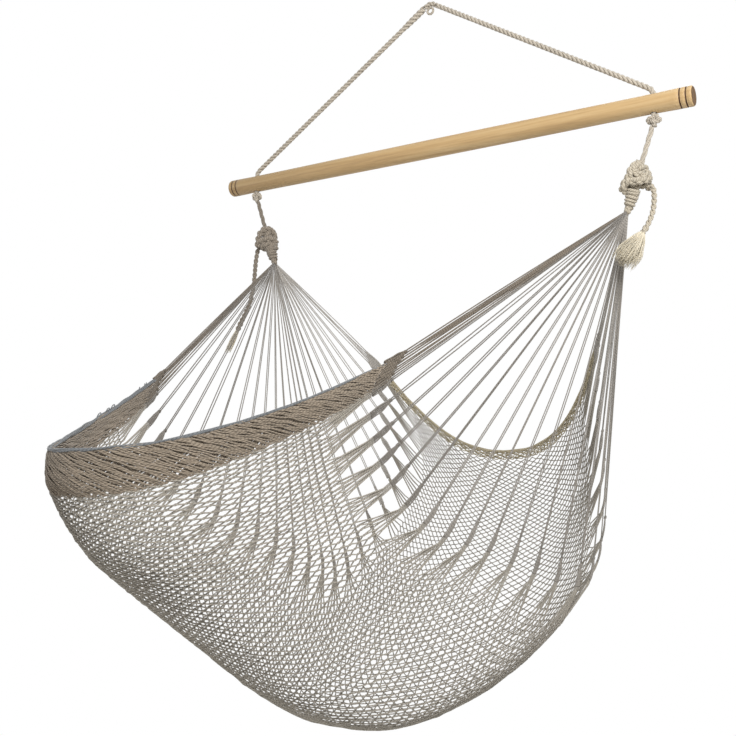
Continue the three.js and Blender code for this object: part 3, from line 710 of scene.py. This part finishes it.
knot_rng = np.random.default_rng(3)
for name, side in SIDES.items():
    stopper, eye, down, knot = arm_points(side)
    drop = even([stopper + down * DROP_FROM, knot - down * DROP_TO], ROPE_STEP)
    strands = laid_rope(drop, DROP, DROP_LAY)
    rope_piece(f"{name}_drop_laid", [strands], "seat", f"{name}_drop_rope", arm_rope_cotton[name])
    x, y, z = smooth_line(KNOT_ROUTES[name], 8).T[:, :, None]
    route = knot + x * ARM_ASIDE + y * ARM_BACK + z * np.array([0, 0, 1])
    core = even([knot - down * 21 * MM, knot + down * 22 * MM], ROPE_STEP)
    neck = even([knot + down * 22 * MM, eye + down * 4 * MM], 1.5 * MM)
    tied = [braid(route, KNOT_BRAID, KNOT_PITCH), laid_rope(core, KNOT_CORE[name], 40 * MM)]
    coils = [wound(knot, down, knot_rng, *coil) for coil in NECK_COILS]
    for what, parts, node in (
        ("arm_knot_tied", tied, "arm_knot"),
        ("arm_neck_plaited", [plait(neck, NECK, NECK_PITCH, NECK_SWELL)], "arm_neck"),
        ("neck_bound", coils, "neck_whipping"),
    ):
        cotton = arm_braid_cotton[name]
        piece(f"{name}_{what}", parts, cotton, "seat", [f"{name}_{node}"])

# %% [markdown]
# ## Shape of the bed
# The net hangs between two guiding lines: the middle line, from the front edge down through the
# seat and up to the back edge, and the line where the arm strings end. Every strand hangs in a
# plane through both eyes. The same shares that shape the solids are used here, so the strands lie
# in them.

# %% The bed's surface
BED_REACH, BED_DEPTH, SPREAD, STRING_DEPTH = 880 * MM, 870 * MM, 260 * MM, 690 * MM
MIDDLE_SHARES = [
    *((-1, -0.49), (-0.99, -0.55), (-0.92, -0.64), (-0.82, -0.71), (-0.67, -0.81), (-0.52, -0.91)),
    *((-0.32, -0.99), (-0.1, -0.97), (0.13, -0.88), (0.31, -0.74), (0.41, -0.6), (0.36, -0.46)),
]
END_SHARES = [
    *((0.84, -0.59, -0.44), (0.81, -0.62, -0.5), (0.78, -0.6, -0.6), (0.77, -0.53, -0.7)),
    *((0.78, -0.4, -0.79), (0.82, -0.24, -0.84), (0.91, -0.07, -0.91), (1.02, 0.09, -0.95)),
    *((1.01, 0.21, -0.85), (0.95, 0.27, -0.67), (0.93, 0.26, -0.48), (0.96, 0.23, -0.3)),
]
MIDDLE = np.array([(0, y * BED_REACH, z * BED_DEPTH) for y, z in MIDDLE_SHARES])
END = np.array([(x * SPREAD, y * BED_REACH, z * STRING_DEPTH) for x, y, z in END_SHARES])
# How square a strand hangs between its ends, and how much squarer beside the front edge
FULLNESS_LEAST, FULLNESS_MOST = 1.6, 3.2
FRONT_SAG, FRONT_REACH = 0.8, 0.22


def on_line(stations, t):
    """A smooth line through the stations, t from 0 to 1 with an even share for each stretch."""
    p = np.vstack([2 * stations[0] - stations[1], stations, 2 * stations[-1] - stations[-2]])
    at = np.clip(t, 0, 1) * (len(stations) - 1)
    i = np.minimum(at.astype(int), len(stations) - 2)
    return smooth_at(p[i], p[i + 1], p[i + 2], p[i + 3], (at - i)[..., None])


def bed_point(t, s):
    """A point of the bed: t from the front edge to the back, s from the left end to the right."""
    t, s = np.broadcast_arrays(np.asarray(t, float), np.asarray(s, float))
    middle, end = on_line(MIDDLE, t), on_line(END, t)
    middle_arm = np.hypot(middle[..., 1], middle[..., 2])
    end_arm = np.hypot(end[..., 1], end[..., 2])
    steady = end[..., 0] / (middle_arm - end_arm) * end_arm / (EYE_X - end[..., 0])
    fullness = np.clip(steady, FULLNESS_LEAST, FULLNESS_MOST)
    share = np.abs(s) ** fullness
    lower = np.abs(s) ** (fullness + FRONT_SAG * np.exp(-t / FRONT_REACH))
    y = middle[..., 1] * (1 - share) + end[..., 1] * share
    z = middle[..., 2] * (1 - lower) + end[..., 2] * lower + EYE_Z
    return np.stack([s * end[..., 0], y, z], -1)


def bed_normal(t, s, step=1e-3):
    back = bed_point(np.clip(t + step, 0, 1), s) - bed_point(np.clip(t - step, 0, 1), s)
    along = bed_point(t, np.clip(s + step, -1, 1)) - bed_point(t, np.clip(s - step, -1, 1))
    return unit(np.cross(along, back))


def bed_back(t, s, step=2e-3):
    """The way across the strands, towards the back edge."""
    return unit(bed_point(np.clip(t + step, 0, 1), s) - bed_point(np.clip(t - step, 0, 1), s))


FRONT_BAND, BACK_BAND, ROW_INSET = 55 * MM, 24 * MM, 0.0043
fine = np.linspace(0, 1, 2001)
middle_run = run_along(on_line(MIDDLE, fine))
BED_LENGTH = middle_run[-1]
# The bands' widths are in metres, and t is found at that distance along the middle line
FRONT_T, BACK_T = np.interp([FRONT_BAND, BED_LENGTH - BACK_BAND], middle_run, fine)
FRONT_ROW, BACK_ROW = FRONT_T + ROW_INSET, BACK_T - ROW_INSET
print("bed:", round(BED_LENGTH, 3), "m along, bands end at", round(FRONT_T, 4), round(BACK_T, 4))

# %% [markdown]
# ## Net
# The net is knotless: two hundred and thirty strands run from arm to arm. Each hooks into one
# neighbour and then into the other, so slanting four-sided cells open between them, 20 mm long in
# the middle and 30 mm towards the arms. There the cells end, and ten strands at a time draw
# together as straight lines into one tuft: first in pairs, and then all ten. A pulled strand can't
# turn sharply, so each rounds the corner at its tuft. All draws of chance have a fixed seed.

# %% Strands of the net
TUFTS, GATHER, COLUMNS = 23, 10, 54
STRANDS, BUNCHES = TUFTS * GATHER, GATHER // 2
STRAND_RADIUS, ROUNDING = 1.0 * MM, 28 * MM
# How much closer the strands lie beside the bands
BAND_CROWDING = 0.12
# The cells' part of a strand, and what the back fans take of it, from one t on over a rise
NET_SHARE, FAN_GROWTH, FANS_FROM, FANS_OVER = 0.77, 0.2, 0.72, 0.2
# Half a strand is about 0.4 m long, so a distance along it is this many times as much in s
S_PER_METRE = 1 / 0.4
HOOK, HOOK_HIGH, HOOK_ASIDE = 1.35 * MM, 1.05, 0.9
# How far meetings wander along a strand, across it and off the bed
UNEVEN = (0.8 * MM, 0.55 * MM, 0.5 * MM)
PARTING_LEAST, PARTING_MOST, PARTED_SPACING = 0.6, 0.92, 1.1 * MM
TUFT_SPACING, TUFT_LAYER, CORNER_PAST = 0.95 * MM, 1.0 * MM, 0.955


def even_places(t, count):
    """Places s that divide a strand into equal lengths, and its length."""
    s = np.linspace(-1, 1, 401)
    run = run_along(bed_point(np.full_like(s, t), s))
    return np.interp(np.linspace(0, run[-1], count), run, s), run[-1]


def tuft_t(k):
    return FRONT_ROW + (BACK_ROW - FRONT_ROW) * k / (TUFTS - 1)


def tuft_place(j):
    """How far strand j of a tuft lies aside of its middle, and how high in its three layers."""
    return (j - (GATHER - 1) / 2) * TUFT_SPACING, ((j * 4) % 3 - 1) * TUFT_LAYER


def strand_places():
    """t of each strand: even along the bed like the tufts, and a little closer beside the bands."""
    share = np.arange(STRANDS + 2) / (STRANDS + 1)
    share = share - BAND_CROWDING * np.sin(2 * math.pi * share) / (2 * math.pi)
    return FRONT_T + (BACK_T - FRONT_T) * share


def columns_of_net(own):
    """Places s of the columns in which strands meet. The fans are longer towards the back."""
    q = np.linspace(-1, 1, COLUMNS)
    rise = np.clip((own - FANS_FROM) / FANS_OVER, 0, 1)
    widest = NET_SHARE * (1 - FAN_GROWTH * rise**2 * (3 - 2 * rise))
    # The cells are a little longer towards the arms
    share = widest[:, None] * (0.84 * q + 0.16 * q**3)
    even_s, _ = even_places(0.5, 401)
    return np.interp(share, np.linspace(-1, 1, 401), even_s)


def corner_ways(t, side):
    """At a string's foot: the way the string comes in, and the way the bed goes on from there."""
    foot = bed_point(t, side)
    way = unit(foot - np.array([side * EYE_X, 0, EYE_Z]))
    return way, unit(bed_point(t, side * CORNER_PAST) - foot)


def rounded(way, out, u):
    """How far a pulled strand lies from its corner, with u from 0 before it to 1 past it."""
    return ROUNDING * (u**2 * out - (1 - u) ** 2 * way)


def meetings(rng, own):
    """Where the strands hook into each other: t, s, and how far aside and how high they lie."""
    columns = columns_of_net(own[1:-1])
    i = np.arange(STRANDS)[:, None]
    c = np.arange(COLUMNS)[None]
    lean = np.where((i + c) % 2 == 0, 1, -1)
    met = (own[i + 1] + own[i + 1 + lean]) / 2
    # What varies from one meeting to the next is shared by the two strands that meet
    pair = np.maximum(i, i + lean)
    along, across, lift = (rng.normal(0, u, (STRANDS + 1, COLUMNS))[pair, c] for u in UNEVEN)
    points = []
    # At a meeting each strand goes over the other, turns round it and comes back under it
    for step, aside, high in ((-1, 0, -HOOK_HIGH), (0, HOOK_ASIDE, 0), (1, 0, HOOK_HIGH)):
        s = columns + (step * HOOK + along) * S_PER_METRE
        aside = across + lean * aside * STRAND_RADIUS
        points.append((met, s, aside, lift + lean * high * STRAND_RADIUS))
    return [np.stack(v, axis=-1).reshape(STRANDS, -1) for v in zip(*points)]


def strand_ends(rng, own, s):
    """At both ends of each strand: the place where a pair of strands parts, and the tuft."""
    number, j = np.divmod(np.arange(STRANDS), GATHER)
    tuft, bunch = tuft_t(number), number * BUNCHES + j // 2
    shares = np.array([np.mean(own[1:-1][bunch == n]) for n in range(BUNCHES * TUFTS)])
    aside, layer = tuft_place(j)
    close = (j % 2 - 0.5) * PARTED_SPACING
    ends = []
    for side, last in ((-1, s[:, 0]), (1, s[:, -1])):
        part = rng.uniform(PARTING_LEAST, PARTING_MOST, BUNCHES * TUFTS)[bunch]
        parting = side * (1 - (1 - np.abs(last)) * part)
        parted = tuft + (shares[bunch] - tuft) * part
        ends.append((parted, parting, close, layer / 2))
        ends.append((tuft, np.full(STRANDS, float(side)), aside, layer))
    return ends


def net_lines(rng):
    own = strand_places()
    met = meetings(rng, own)
    parted, tuft, far_parted, far_tuft = strand_ends(rng, own, met[1])
    whole = zip(tuft, parted, met, far_parted, far_tuft)
    t, s, aside, high = (np.column_stack(columns) for columns in whole)
    t, s = np.clip(t, 0, 1), np.clip(s, -1, 1)
    lines = bed_point(t, s) + bed_back(t, s) * aside[..., None] + bed_normal(t, s) * high[..., None]
    # Where the bed meets a string the line turns, and a pulled strand rounds that corner
    for end, side in ((0, -1), (-1, 1)):
        way, out = corner_ways(tuft[0], side)
        turned = lines[:, end] + rounded(way, out, 0.75)
        lines[:, end] += rounded(way, out, 0.5)
        lines = np.insert(lines, 1 if side < 0 else -1, turned, axis=1)
    return lines


rng = np.random.default_rng(7)
strands = tubes(net_lines(rng), STRAND_RADIUS, 5)
piece("net_bed_strands", [strands], net_cotton, "seat", ["net_bed"])
_, strand_length = even_places(0.5, 3)
print("net:", STRANDS, "strands of", round(float(strand_length), 3), "m")

# %% [markdown]
# ## Edge bands
# Along the front edge the strands are gathered into a band as wide as three fingers, two layers
# deep: outside they slant down to the net, turn there and rise again on the inside. Along the back
# edge lies a narrow one, in which the net's cells are drawn shut and the strands still lean to and
# fro. A grey cord with a few loose loops and ends is bound along the front edge, and a bundle of
# strands runs along the back edge.

# %% Bands
FRONT_EDGE_T, BACK_EDGE_T, NET_OVERLAP = 0.004, 0.997, 0.004
FRONT_STRANDS, FRONT_SLOPE, FRONT_DEPTH = 46, 105 * MM, 3.2 * MM
FRONT_CORD, FRONT_SWELL = 2.3 * MM, ([-1, -0.5, -0.2, 1], [1.3, 1.2, 0.75, 0.6])
BACK_ROWS, BACK_LAYERS, BACK_DEPTH, BACK_SWING, BACK_CROWD = 7, 2, 2.6 * MM, 0.6, 1.7
BACK_CORD, BACK_WANDER, BACK_LIFT, BACK_LEAN = 2.2 * MM, 0.22, 0.35 * MM, 0.8 * MM
EDGE_STRAND, BACK_STRAND, LOOSE_YARN = 1.2 * MM, 1.1 * MM, 0.8 * MM
# Loops and ends of yarn that stick up, by the place s along the front edge
LOOPS, LOOSE_ENDS = (-0.81, -0.785, -0.74), (-0.93, -0.955, -0.96)


def back_band_lines(rng, from_t, to_t):
    """Rows of the back band, which lie closer together towards its outer edge at to_t."""
    lines = []
    columns = COLUMNS + 20
    place, _ = even_places((from_t + to_t) / 2, columns)
    half = np.gradient(place) * 0.2
    s = np.sort(np.concatenate([(place - half)[1:-1], (place + half)[1:-1], [-1, 1]]))
    column = np.concatenate([[0], np.repeat(np.arange(1, columns - 1), 2), [columns - 1]])
    at = from_t + (to_t - from_t) * (1 - (1 - np.linspace(0, 1, BACK_ROWS + 1)) ** BACK_CROWD)
    for layer in range(BACK_LAYERS):
        away = (layer - (BACK_LAYERS - 1) / 2) * BACK_DEPTH
        for row in range(BACK_ROWS):
            t, spacing = (at[row] + at[row + 1]) / 2, at[row + 1] - at[row]
            lean = np.where((row + column + layer) % 2 == 0, 1.0, -1.0)
            wander = rng.normal(0, spacing * BACK_WANDER, s.shape)
            t_row = np.clip(t + lean * spacing * BACK_SWING + wander, from_t + 1e-3, to_t - 5e-4)
            s_row = np.clip(s + rng.normal(0, 0.004, s.shape) * (np.abs(s) < 0.97), -1, 1)
            lift = away + rng.normal(0, BACK_LIFT, s.shape) + lean * BACK_LEAN
            lines.append(bed_point(t_row, s_row) + bed_normal(t_row, s_row) * lift[:, None])
    return lines


def front_band_lines(rng, from_t, to_t):
    """Strands that slant down on a band's outside, turn at the net and rise again on its inside."""
    s, length = even_places((from_t + to_t) / 2, 300)
    run = np.linspace(0, length, 300)
    # Towards the left end the strands hardly slant
    passed = np.cumsum(np.interp(s, [-0.6, -0.2], [0.25, 1]) / FRONT_SLOPE) * run[1]
    lines = []
    for k in range(FRONT_STRANDS):
        phase = (passed + 2 * k / FRONT_STRANDS + rng.normal(0, 0.02)) % 2
        first, second = rng.uniform(0, 6, 2)
        wave = 0.7 * MM * np.sin(run / 0.006 + first) + 0.7 * MM * np.sin(run / 0.017 + second)
        share = 1 - np.abs(1 - phase) + wave / FRONT_BAND
        t = from_t + (to_t - from_t) * np.clip(share, 0, 1)
        inside = np.clip(2.5 * np.sin(math.pi * phase), -1, 1)
        lift = -FRONT_DEPTH / 2 * inside + 0.5 * MM * np.sin(run / 0.007 + second)
        lines.append(bed_point(t, s) + bed_normal(t, s) * lift[:, None])
    return lines


def loose_yarns(rng, t):
    """Small loops and cut ends of yarn that stick up from the left part of the front edge."""
    lines = []
    for s in LOOPS + LOOSE_ENDS:
        foot = bed_point(t, s)
        ahead = unit(bed_point(t, s + 1e-3) - foot)
        up = unit(foot - bed_point(t + 2e-3, s))
        if s in LOOPS:
            turn = np.linspace(-0.6, math.pi + 0.6, 16)[:, None]
            loop = ahead * np.cos(turn) + up * (0.3 + np.sin(turn))
            lines.append(foot + loop * rng.uniform(4.5, 6.5) * MM)
        else:
            rise = np.linspace(0, 1, 16)[:, None]
            lean = rng.uniform(-0.6, 0.6)
            end = up * rise + ahead * lean * rise**2
            lines.append(foot + end * rng.uniform(9, 13) * MM)
    return lines


def edge_bundle(rng, t, count, radius, swell=([-1, 1], [1, 1])):
    """Strands that run along an outer edge, wound loosely round one another."""
    s, _ = even_places(t, 140)
    t = np.full_like(s, t)
    line, normal = bed_point(t, s), bed_normal(t, s)
    near = np.where(t < 0.5, t, t - 2e-3)
    back = unit(bed_point(near + 2e-3, s) - bed_point(near, s))
    run = run_along(line)
    lines = []
    for k in range(count):
        turn = 2 * math.pi * (k / count + run / rng.uniform(0.10, 0.22)) + rng.uniform(0, 0.6)
        out = radius * (0.75 + 0.25 * np.sin(run * 40 + k)) * np.interp(s, *swell)
        lines.append(round_line(line, normal, back, turn, out))
    return lines


def band_piece(name, parts, material, nodes):
    """A piece of an edge, from lists of lines and the radius of each list's tubes."""
    parts = [tubes(lines, radius, 5) for lines, radius in parts]
    piece(name, parts, material, "seat", nodes)


front = front_band_lines(rng, FRONT_EDGE_T, FRONT_T + NET_OVERLAP)
cord = edge_bundle(rng, FRONT_EDGE_T, 7, FRONT_CORD, FRONT_SWELL)
yarns = loose_yarns(rng, FRONT_EDGE_T)
band_piece("front_edge_gathered", [(front, EDGE_STRAND)], edge_cotton, ["front_edge_band"])
band_piece("front_edge_cord", [(cord, EDGE_STRAND), (yarns, LOOSE_YARN)], edge_cord_cotton, [])
back = back_band_lines(rng, BACK_T - 1e-3, BACK_EDGE_T + 1e-3)
bundle = edge_bundle(rng, BACK_EDGE_T, 6, BACK_CORD)
parts = [(back, BACK_STRAND), (bundle, EDGE_STRAND)]
band_piece("back_edge_gathered", parts, back_cotton, ["back_edge_band"])

# %% [markdown]
# ## Arm strings
# From each eye thirty doubled strings run to the edge of the bed. Each pair ends in a loop at the
# tip of a tuft: the ends of ten strands drawn together into a slim wedge. Some pairs lie close
# together and others stand a few millimetres apart. The strings lie in the planes of the solids'
# three groups, so each group is one piece that stands for its own solid. The five pairs that hold
# the front band are a piece of their own, as brown as the band.

# %% Strings and tufts
STRING_RADIUS, LOOP_RADIUS, TUFT_LENGTH = 1.0 * MM, 0.9 * MM, 45 * MM
BAND_PAIRS, BACK_PAIRS, FRONT_SHARE, BACK_SHARE = 5, 2, 0.38, 0.27
# A pair of strings: how far it starts from the eye, and half its width there and at its tip
PAIR_FROM, PAIR_AT_EYE, PAIR_AT_TIP, PAIR_OVERLAP = 4 * MM, 0.6 * MM, 1.4 * MM, 3 * MM


def string_targets(side):
    """Where each string meets the bed, the ways across and off it there, and its tuft's width."""
    places = [(FRONT_T * (k + 0.5) / BAND_PAIRS, 1.0) for k in range(BAND_PAIRS)]
    places += [(tuft_t(k), 1.0) for k in range(TUFTS)]
    places += [(BACK_T + (1 - BACK_T) * (k + 0.5) / BACK_PAIRS, 0.9) for k in range(BACK_PAIRS)]
    rows = []
    for t, wide in places:
        _, out = corner_ways(t, side)
        normal = bed_normal(np.array(t), np.array(float(side)))
        rows.append((bed_point(t, side), bed_back(t, side), normal, wide, out))
    return rows


def string_pair(rng, eye, tip, way, across, over):
    """Two strings that start close together at the eye, part on their way and end in one loop."""
    apart = rng.uniform(1.0, 4.6) * MM
    pair = []
    for half in (-1, 1):
        lift = over * rng.normal(0, 0.8 * MM)
        start = eye + way * PAIR_FROM + across * half * PAIR_AT_EYE + lift
        lift = over * rng.normal(0, 0.7 * MM)
        middle = eye + (tip - eye) * 0.62 + across * half * apart + lift
        end = tip + across * half * PAIR_AT_TIP + way * PAIR_OVERLAP
        pair.append(bent(start, middle, end, 15))
    return tubes(pair, STRING_RADIUS, 5)


def tuft_fibres(rng, tip, way, across, normal, wide, out):
    """Ten strands that spread from the tip into a wedge and round the corner into the bed."""
    u = np.linspace(0, 1, 11)[:, None]
    opened = np.minimum(u / 0.5, 1)
    grow = 0.28 + 0.72 * (3 * opened**2 - 2 * opened**3)
    bend = np.maximum(0, (u - 1) * TUFT_LENGTH / ROUNDING + 1) / 2
    line = tip + way * (TUFT_LENGTH * u) + (out - way) * (ROUNDING * bend**2)
    fibres = []
    for j in range(GATHER):
        aside, layer = tuft_place(j)
        wave = 0.45 * MM * np.sin(u * 8 + rng.uniform(0, 6)) * u * (1 - u) * 4
        fibres.append(line + across * (aside * wide * grow + wave) + normal * layer * grow)
    return tubes(fibres, STRAND_RADIUS, 5)


def string_loop(tip, way, across, over):
    """The loop that a pair makes through its tuft's tip, twice round and 5 mm long."""
    turn = np.linspace(0, 4 * math.pi, 25)[:, None]
    ring = (across * np.cos(turn) + over * np.sin(turn)) * 2.2 * MM
    return tubes([tip + ring + way * (np.linspace(2, 7, 25) * MM)[:, None]], LOOP_RADIUS, 5)


def string_group(side, rows, rng):
    _, eye, _, _ = arm_points(side)
    parts = []
    for target, back, normal, wide, out in rows:
        way = unit(target - eye)
        tip = target - way * TUFT_LENGTH
        across = unit(back - way * np.dot(back, way))
        over = np.cross(way, across)
        parts.append(string_pair(rng, eye, tip, way, across, over))
        parts.append(tuft_fibres(rng, tip, way, across, normal, wide, out))
        parts.append(string_loop(tip, way, across, over))
    return parts


for name, side in SIDES.items():
    rows = string_targets(side)
    front_end = round(len(rows) * FRONT_SHARE)
    back_start = len(rows) - round(len(rows) * BACK_SHARE)
    groups = {
        "band": rows[:BAND_PAIRS],
        "front": rows[BAND_PAIRS:front_end],
        "seat": rows[front_end:back_start],
        "back": rows[back_start:],
    }
    for group, members in groups.items():
        parts = string_group(side, members, rng)
        nodes = [] if group == "band" else [f"{name}_{group}_strings"]
        title = f"{name}_{group}_string_pairs"
        # Painted shade: each group's cotton is darker towards the front of the bed
        piece(title, parts, string_cotton_painted_shade[group], "seat", nodes)

# %% [markdown]
# ## Spare ends
# The braid that ties each arm leaves a spare end below its knot. It hangs free, widens a little
# towards its end and finishes in a brush of frayed yarn: fine fibres that leave the braid together,
# spread and curl. The right end is short with a full brush, and the left one long with a thin one.

# %% Tails and brushes
# Routes of the tails, in millimetres from the hook
TAIL_ROUTES = {
    "right": [
        *((430.8, 0, -428.1), (434.5, -1, -433), (437.2, -4, -447.8), (435.6, -9, -475.5)),
        *((428.5, -15, -498), (420, -20.5, -514)),
    ],
    "left": [
        *((-430.8, 0, -428.1), (-435.5, -1, -436), (-439, -3, -465), (-441.5, -5, -508)),
        *((-448, -10, -551), (-461, -16, -583), (-472, -22, -611)),
    ],
}
TAIL, TAIL_PITCH, TAIL_SWELL = 4.9 * MM, 31 * MM, ([0, 0.8, 0.92, 1], [1, 1, 1.25, 1.1])
# Each brush: its width and length in metres, and its number of fibres
BRUSHES = {"left": (12 * MM, 56 * MM, 64), "right": (44 * MM, 66 * MM, 420)}
BRUSH_ROOT, ROOT_OVERLAP, FIBRE_RADIUS, YARN_RADIUS = 3.2 * MM, 1.5 * MM, 0.55 * MM, 1.05 * MM


def brush_fibres(foot, way, wide, long_, count, rng):
    side_way = unit(np.cross(way, [0, 1, 0]))
    over = np.cross(way, side_way)
    u = np.linspace(0, 1, 12)[:, None]
    lines = []
    for _ in range(count):
        turn = rng.uniform(0, 2 * math.pi)
        reach = math.sqrt(rng.uniform(0, 1))
        out = side_way * math.cos(turn) + over * math.sin(turn)
        length = long_ * rng.uniform(0.7, 1.0)
        curl, phase = rng.uniform(0.5, 2.2) * MM, rng.uniform(0, 6)
        spread = reach * (BRUSH_ROOT * (1 - u) + wide / 2 * np.minimum(1, 1.25 * u**0.8))
        sway = curl * np.sin(phase + 9 * u) * u
        lines.append(foot + way * length * u + out * spread + over * sway + side_way * sway * 0.6)
    # Every ninth fibre is a yarn that hasn't come apart yet
    thick = np.where(np.arange(count) % 9 == 0, YARN_RADIUS, FIBRE_RADIUS)
    return tubes(lines, thick[:, None] * np.linspace(1, 0.45, 12), 4)


for name in SIDES:
    line = smooth_line(TAIL_ROUTES[name])
    way = unit(line[-1] - line[-3])
    parts = [brush_fibres(line[-1] - way * ROOT_OVERLAP, way, *BRUSHES[name], rng)]
    nodes = [f"{name}_tail_brush"]
    brush = piece(f"{name}_tail_fibres", parts, brush_cotton, "seat", nodes)
    parts = [braid(line, TAIL, TAIL_PITCH, TAIL_SWELL)]
    nodes = [f"{name}_spare_tail"]
    cotton = arm_braid_cotton[name]
    tail = piece(f"{name}_tail_plaited", parts, cotton, "seat", nodes)
    length = float(run_along(line)[-1])
    tuple(line[0])
    [tuple(p) for p in even(line, 4 * MM)]
    print(name, "tail:", round(length, 3), "m")

# %% [markdown]
# ## Room and light
# The chair hangs in a plain white room. The floor and the room are pure white to the camera, and
# otherwise shine at a level at which a colour shows as it is written. A large lamp to the right in
# front gives soft shade under the strands, a weaker one fills from the left, and one above and
# behind rims the cords.

# %% Floor, world and lamps
WHITE = (1, 1, 1, 1)
ROOM_LEVEL, FLOOR_Z = 0.38, -1.78


def seen_straight(tree):
    """1 for what the camera sees, also in a mirror or through glass, and 0 for other light."""
    path = add(tree, "ShaderNodeLightPath").outputs
    seen = calc(tree, "MAXIMUM", path["Is Camera Ray"], path["Is Glossy Ray"])
    return calc(tree, "MAXIMUM", seen, path["Is Transmission Ray"])


def pale_floor():
    material, tree = blank_material("pale_floor_paint")
    seen = seen_straight(tree)
    inputs = {"Base Color": colour("#f4f3f0"), "Roughness": 0.9}
    paint = add(tree, "ShaderNodeBsdfPrincipled", inputs).outputs[0]
    glow = add(tree, "ShaderNodeEmission", {"Color": WHITE, "Strength": 1}).outputs[0]
    mixed = add(tree, "ShaderNodeMixShader", {0: seen, 1: paint, 2: glow})
    add(tree, "ShaderNodeOutputMaterial", {"Surface": mixed.outputs[0]})
    return material


bpy.ops.mesh.primitive_plane_add(size=30, location=(0, 0, FLOOR_Z))
floor = bpy.context.object
floor.name = "floor"
floor.data.materials.append(pale_floor())

world = bpy.data.worlds.new("white_room")
bpy.context.scene.world = world
world.use_nodes = True
tree = world.node_tree
tree.nodes.clear()
level = remap(tree, seen_straight(tree), 0, 1, ROOM_LEVEL, 1)
sky = add(tree, "ShaderNodeBackground", {"Color": WHITE, "Strength": level})
add(tree, "ShaderNodeOutputWorld", {"Surface": sky.outputs[0]})


def lamp(name, place, aim, size, watts):
    light = bpy.data.lights.new(name, "AREA")
    light.shape, light.size, light.energy = "DISK", size, watts
    made = new_object(name, light)
    made.location = place
    made.rotation_euler = (Vector(aim) - Vector(place)).to_track_quat("-Z", "Y").to_euler()


SEAT_MIDDLE = (0, -0.25, -0.8)
lamp("key_lamp", (1.6, -1.6, 0.4), SEAT_MIDDLE, 1.4, 60)
lamp("fill_lamp", (-3.0, -2.4, -0.4), SEAT_MIDDLE, 2.2, 16)
lamp("back_lamp", (-0.6, 3.2, 1.4), SEAT_MIDDLE, 2.0, 45)
bpy.context.scene.view_settings.view_transform = "Standard"
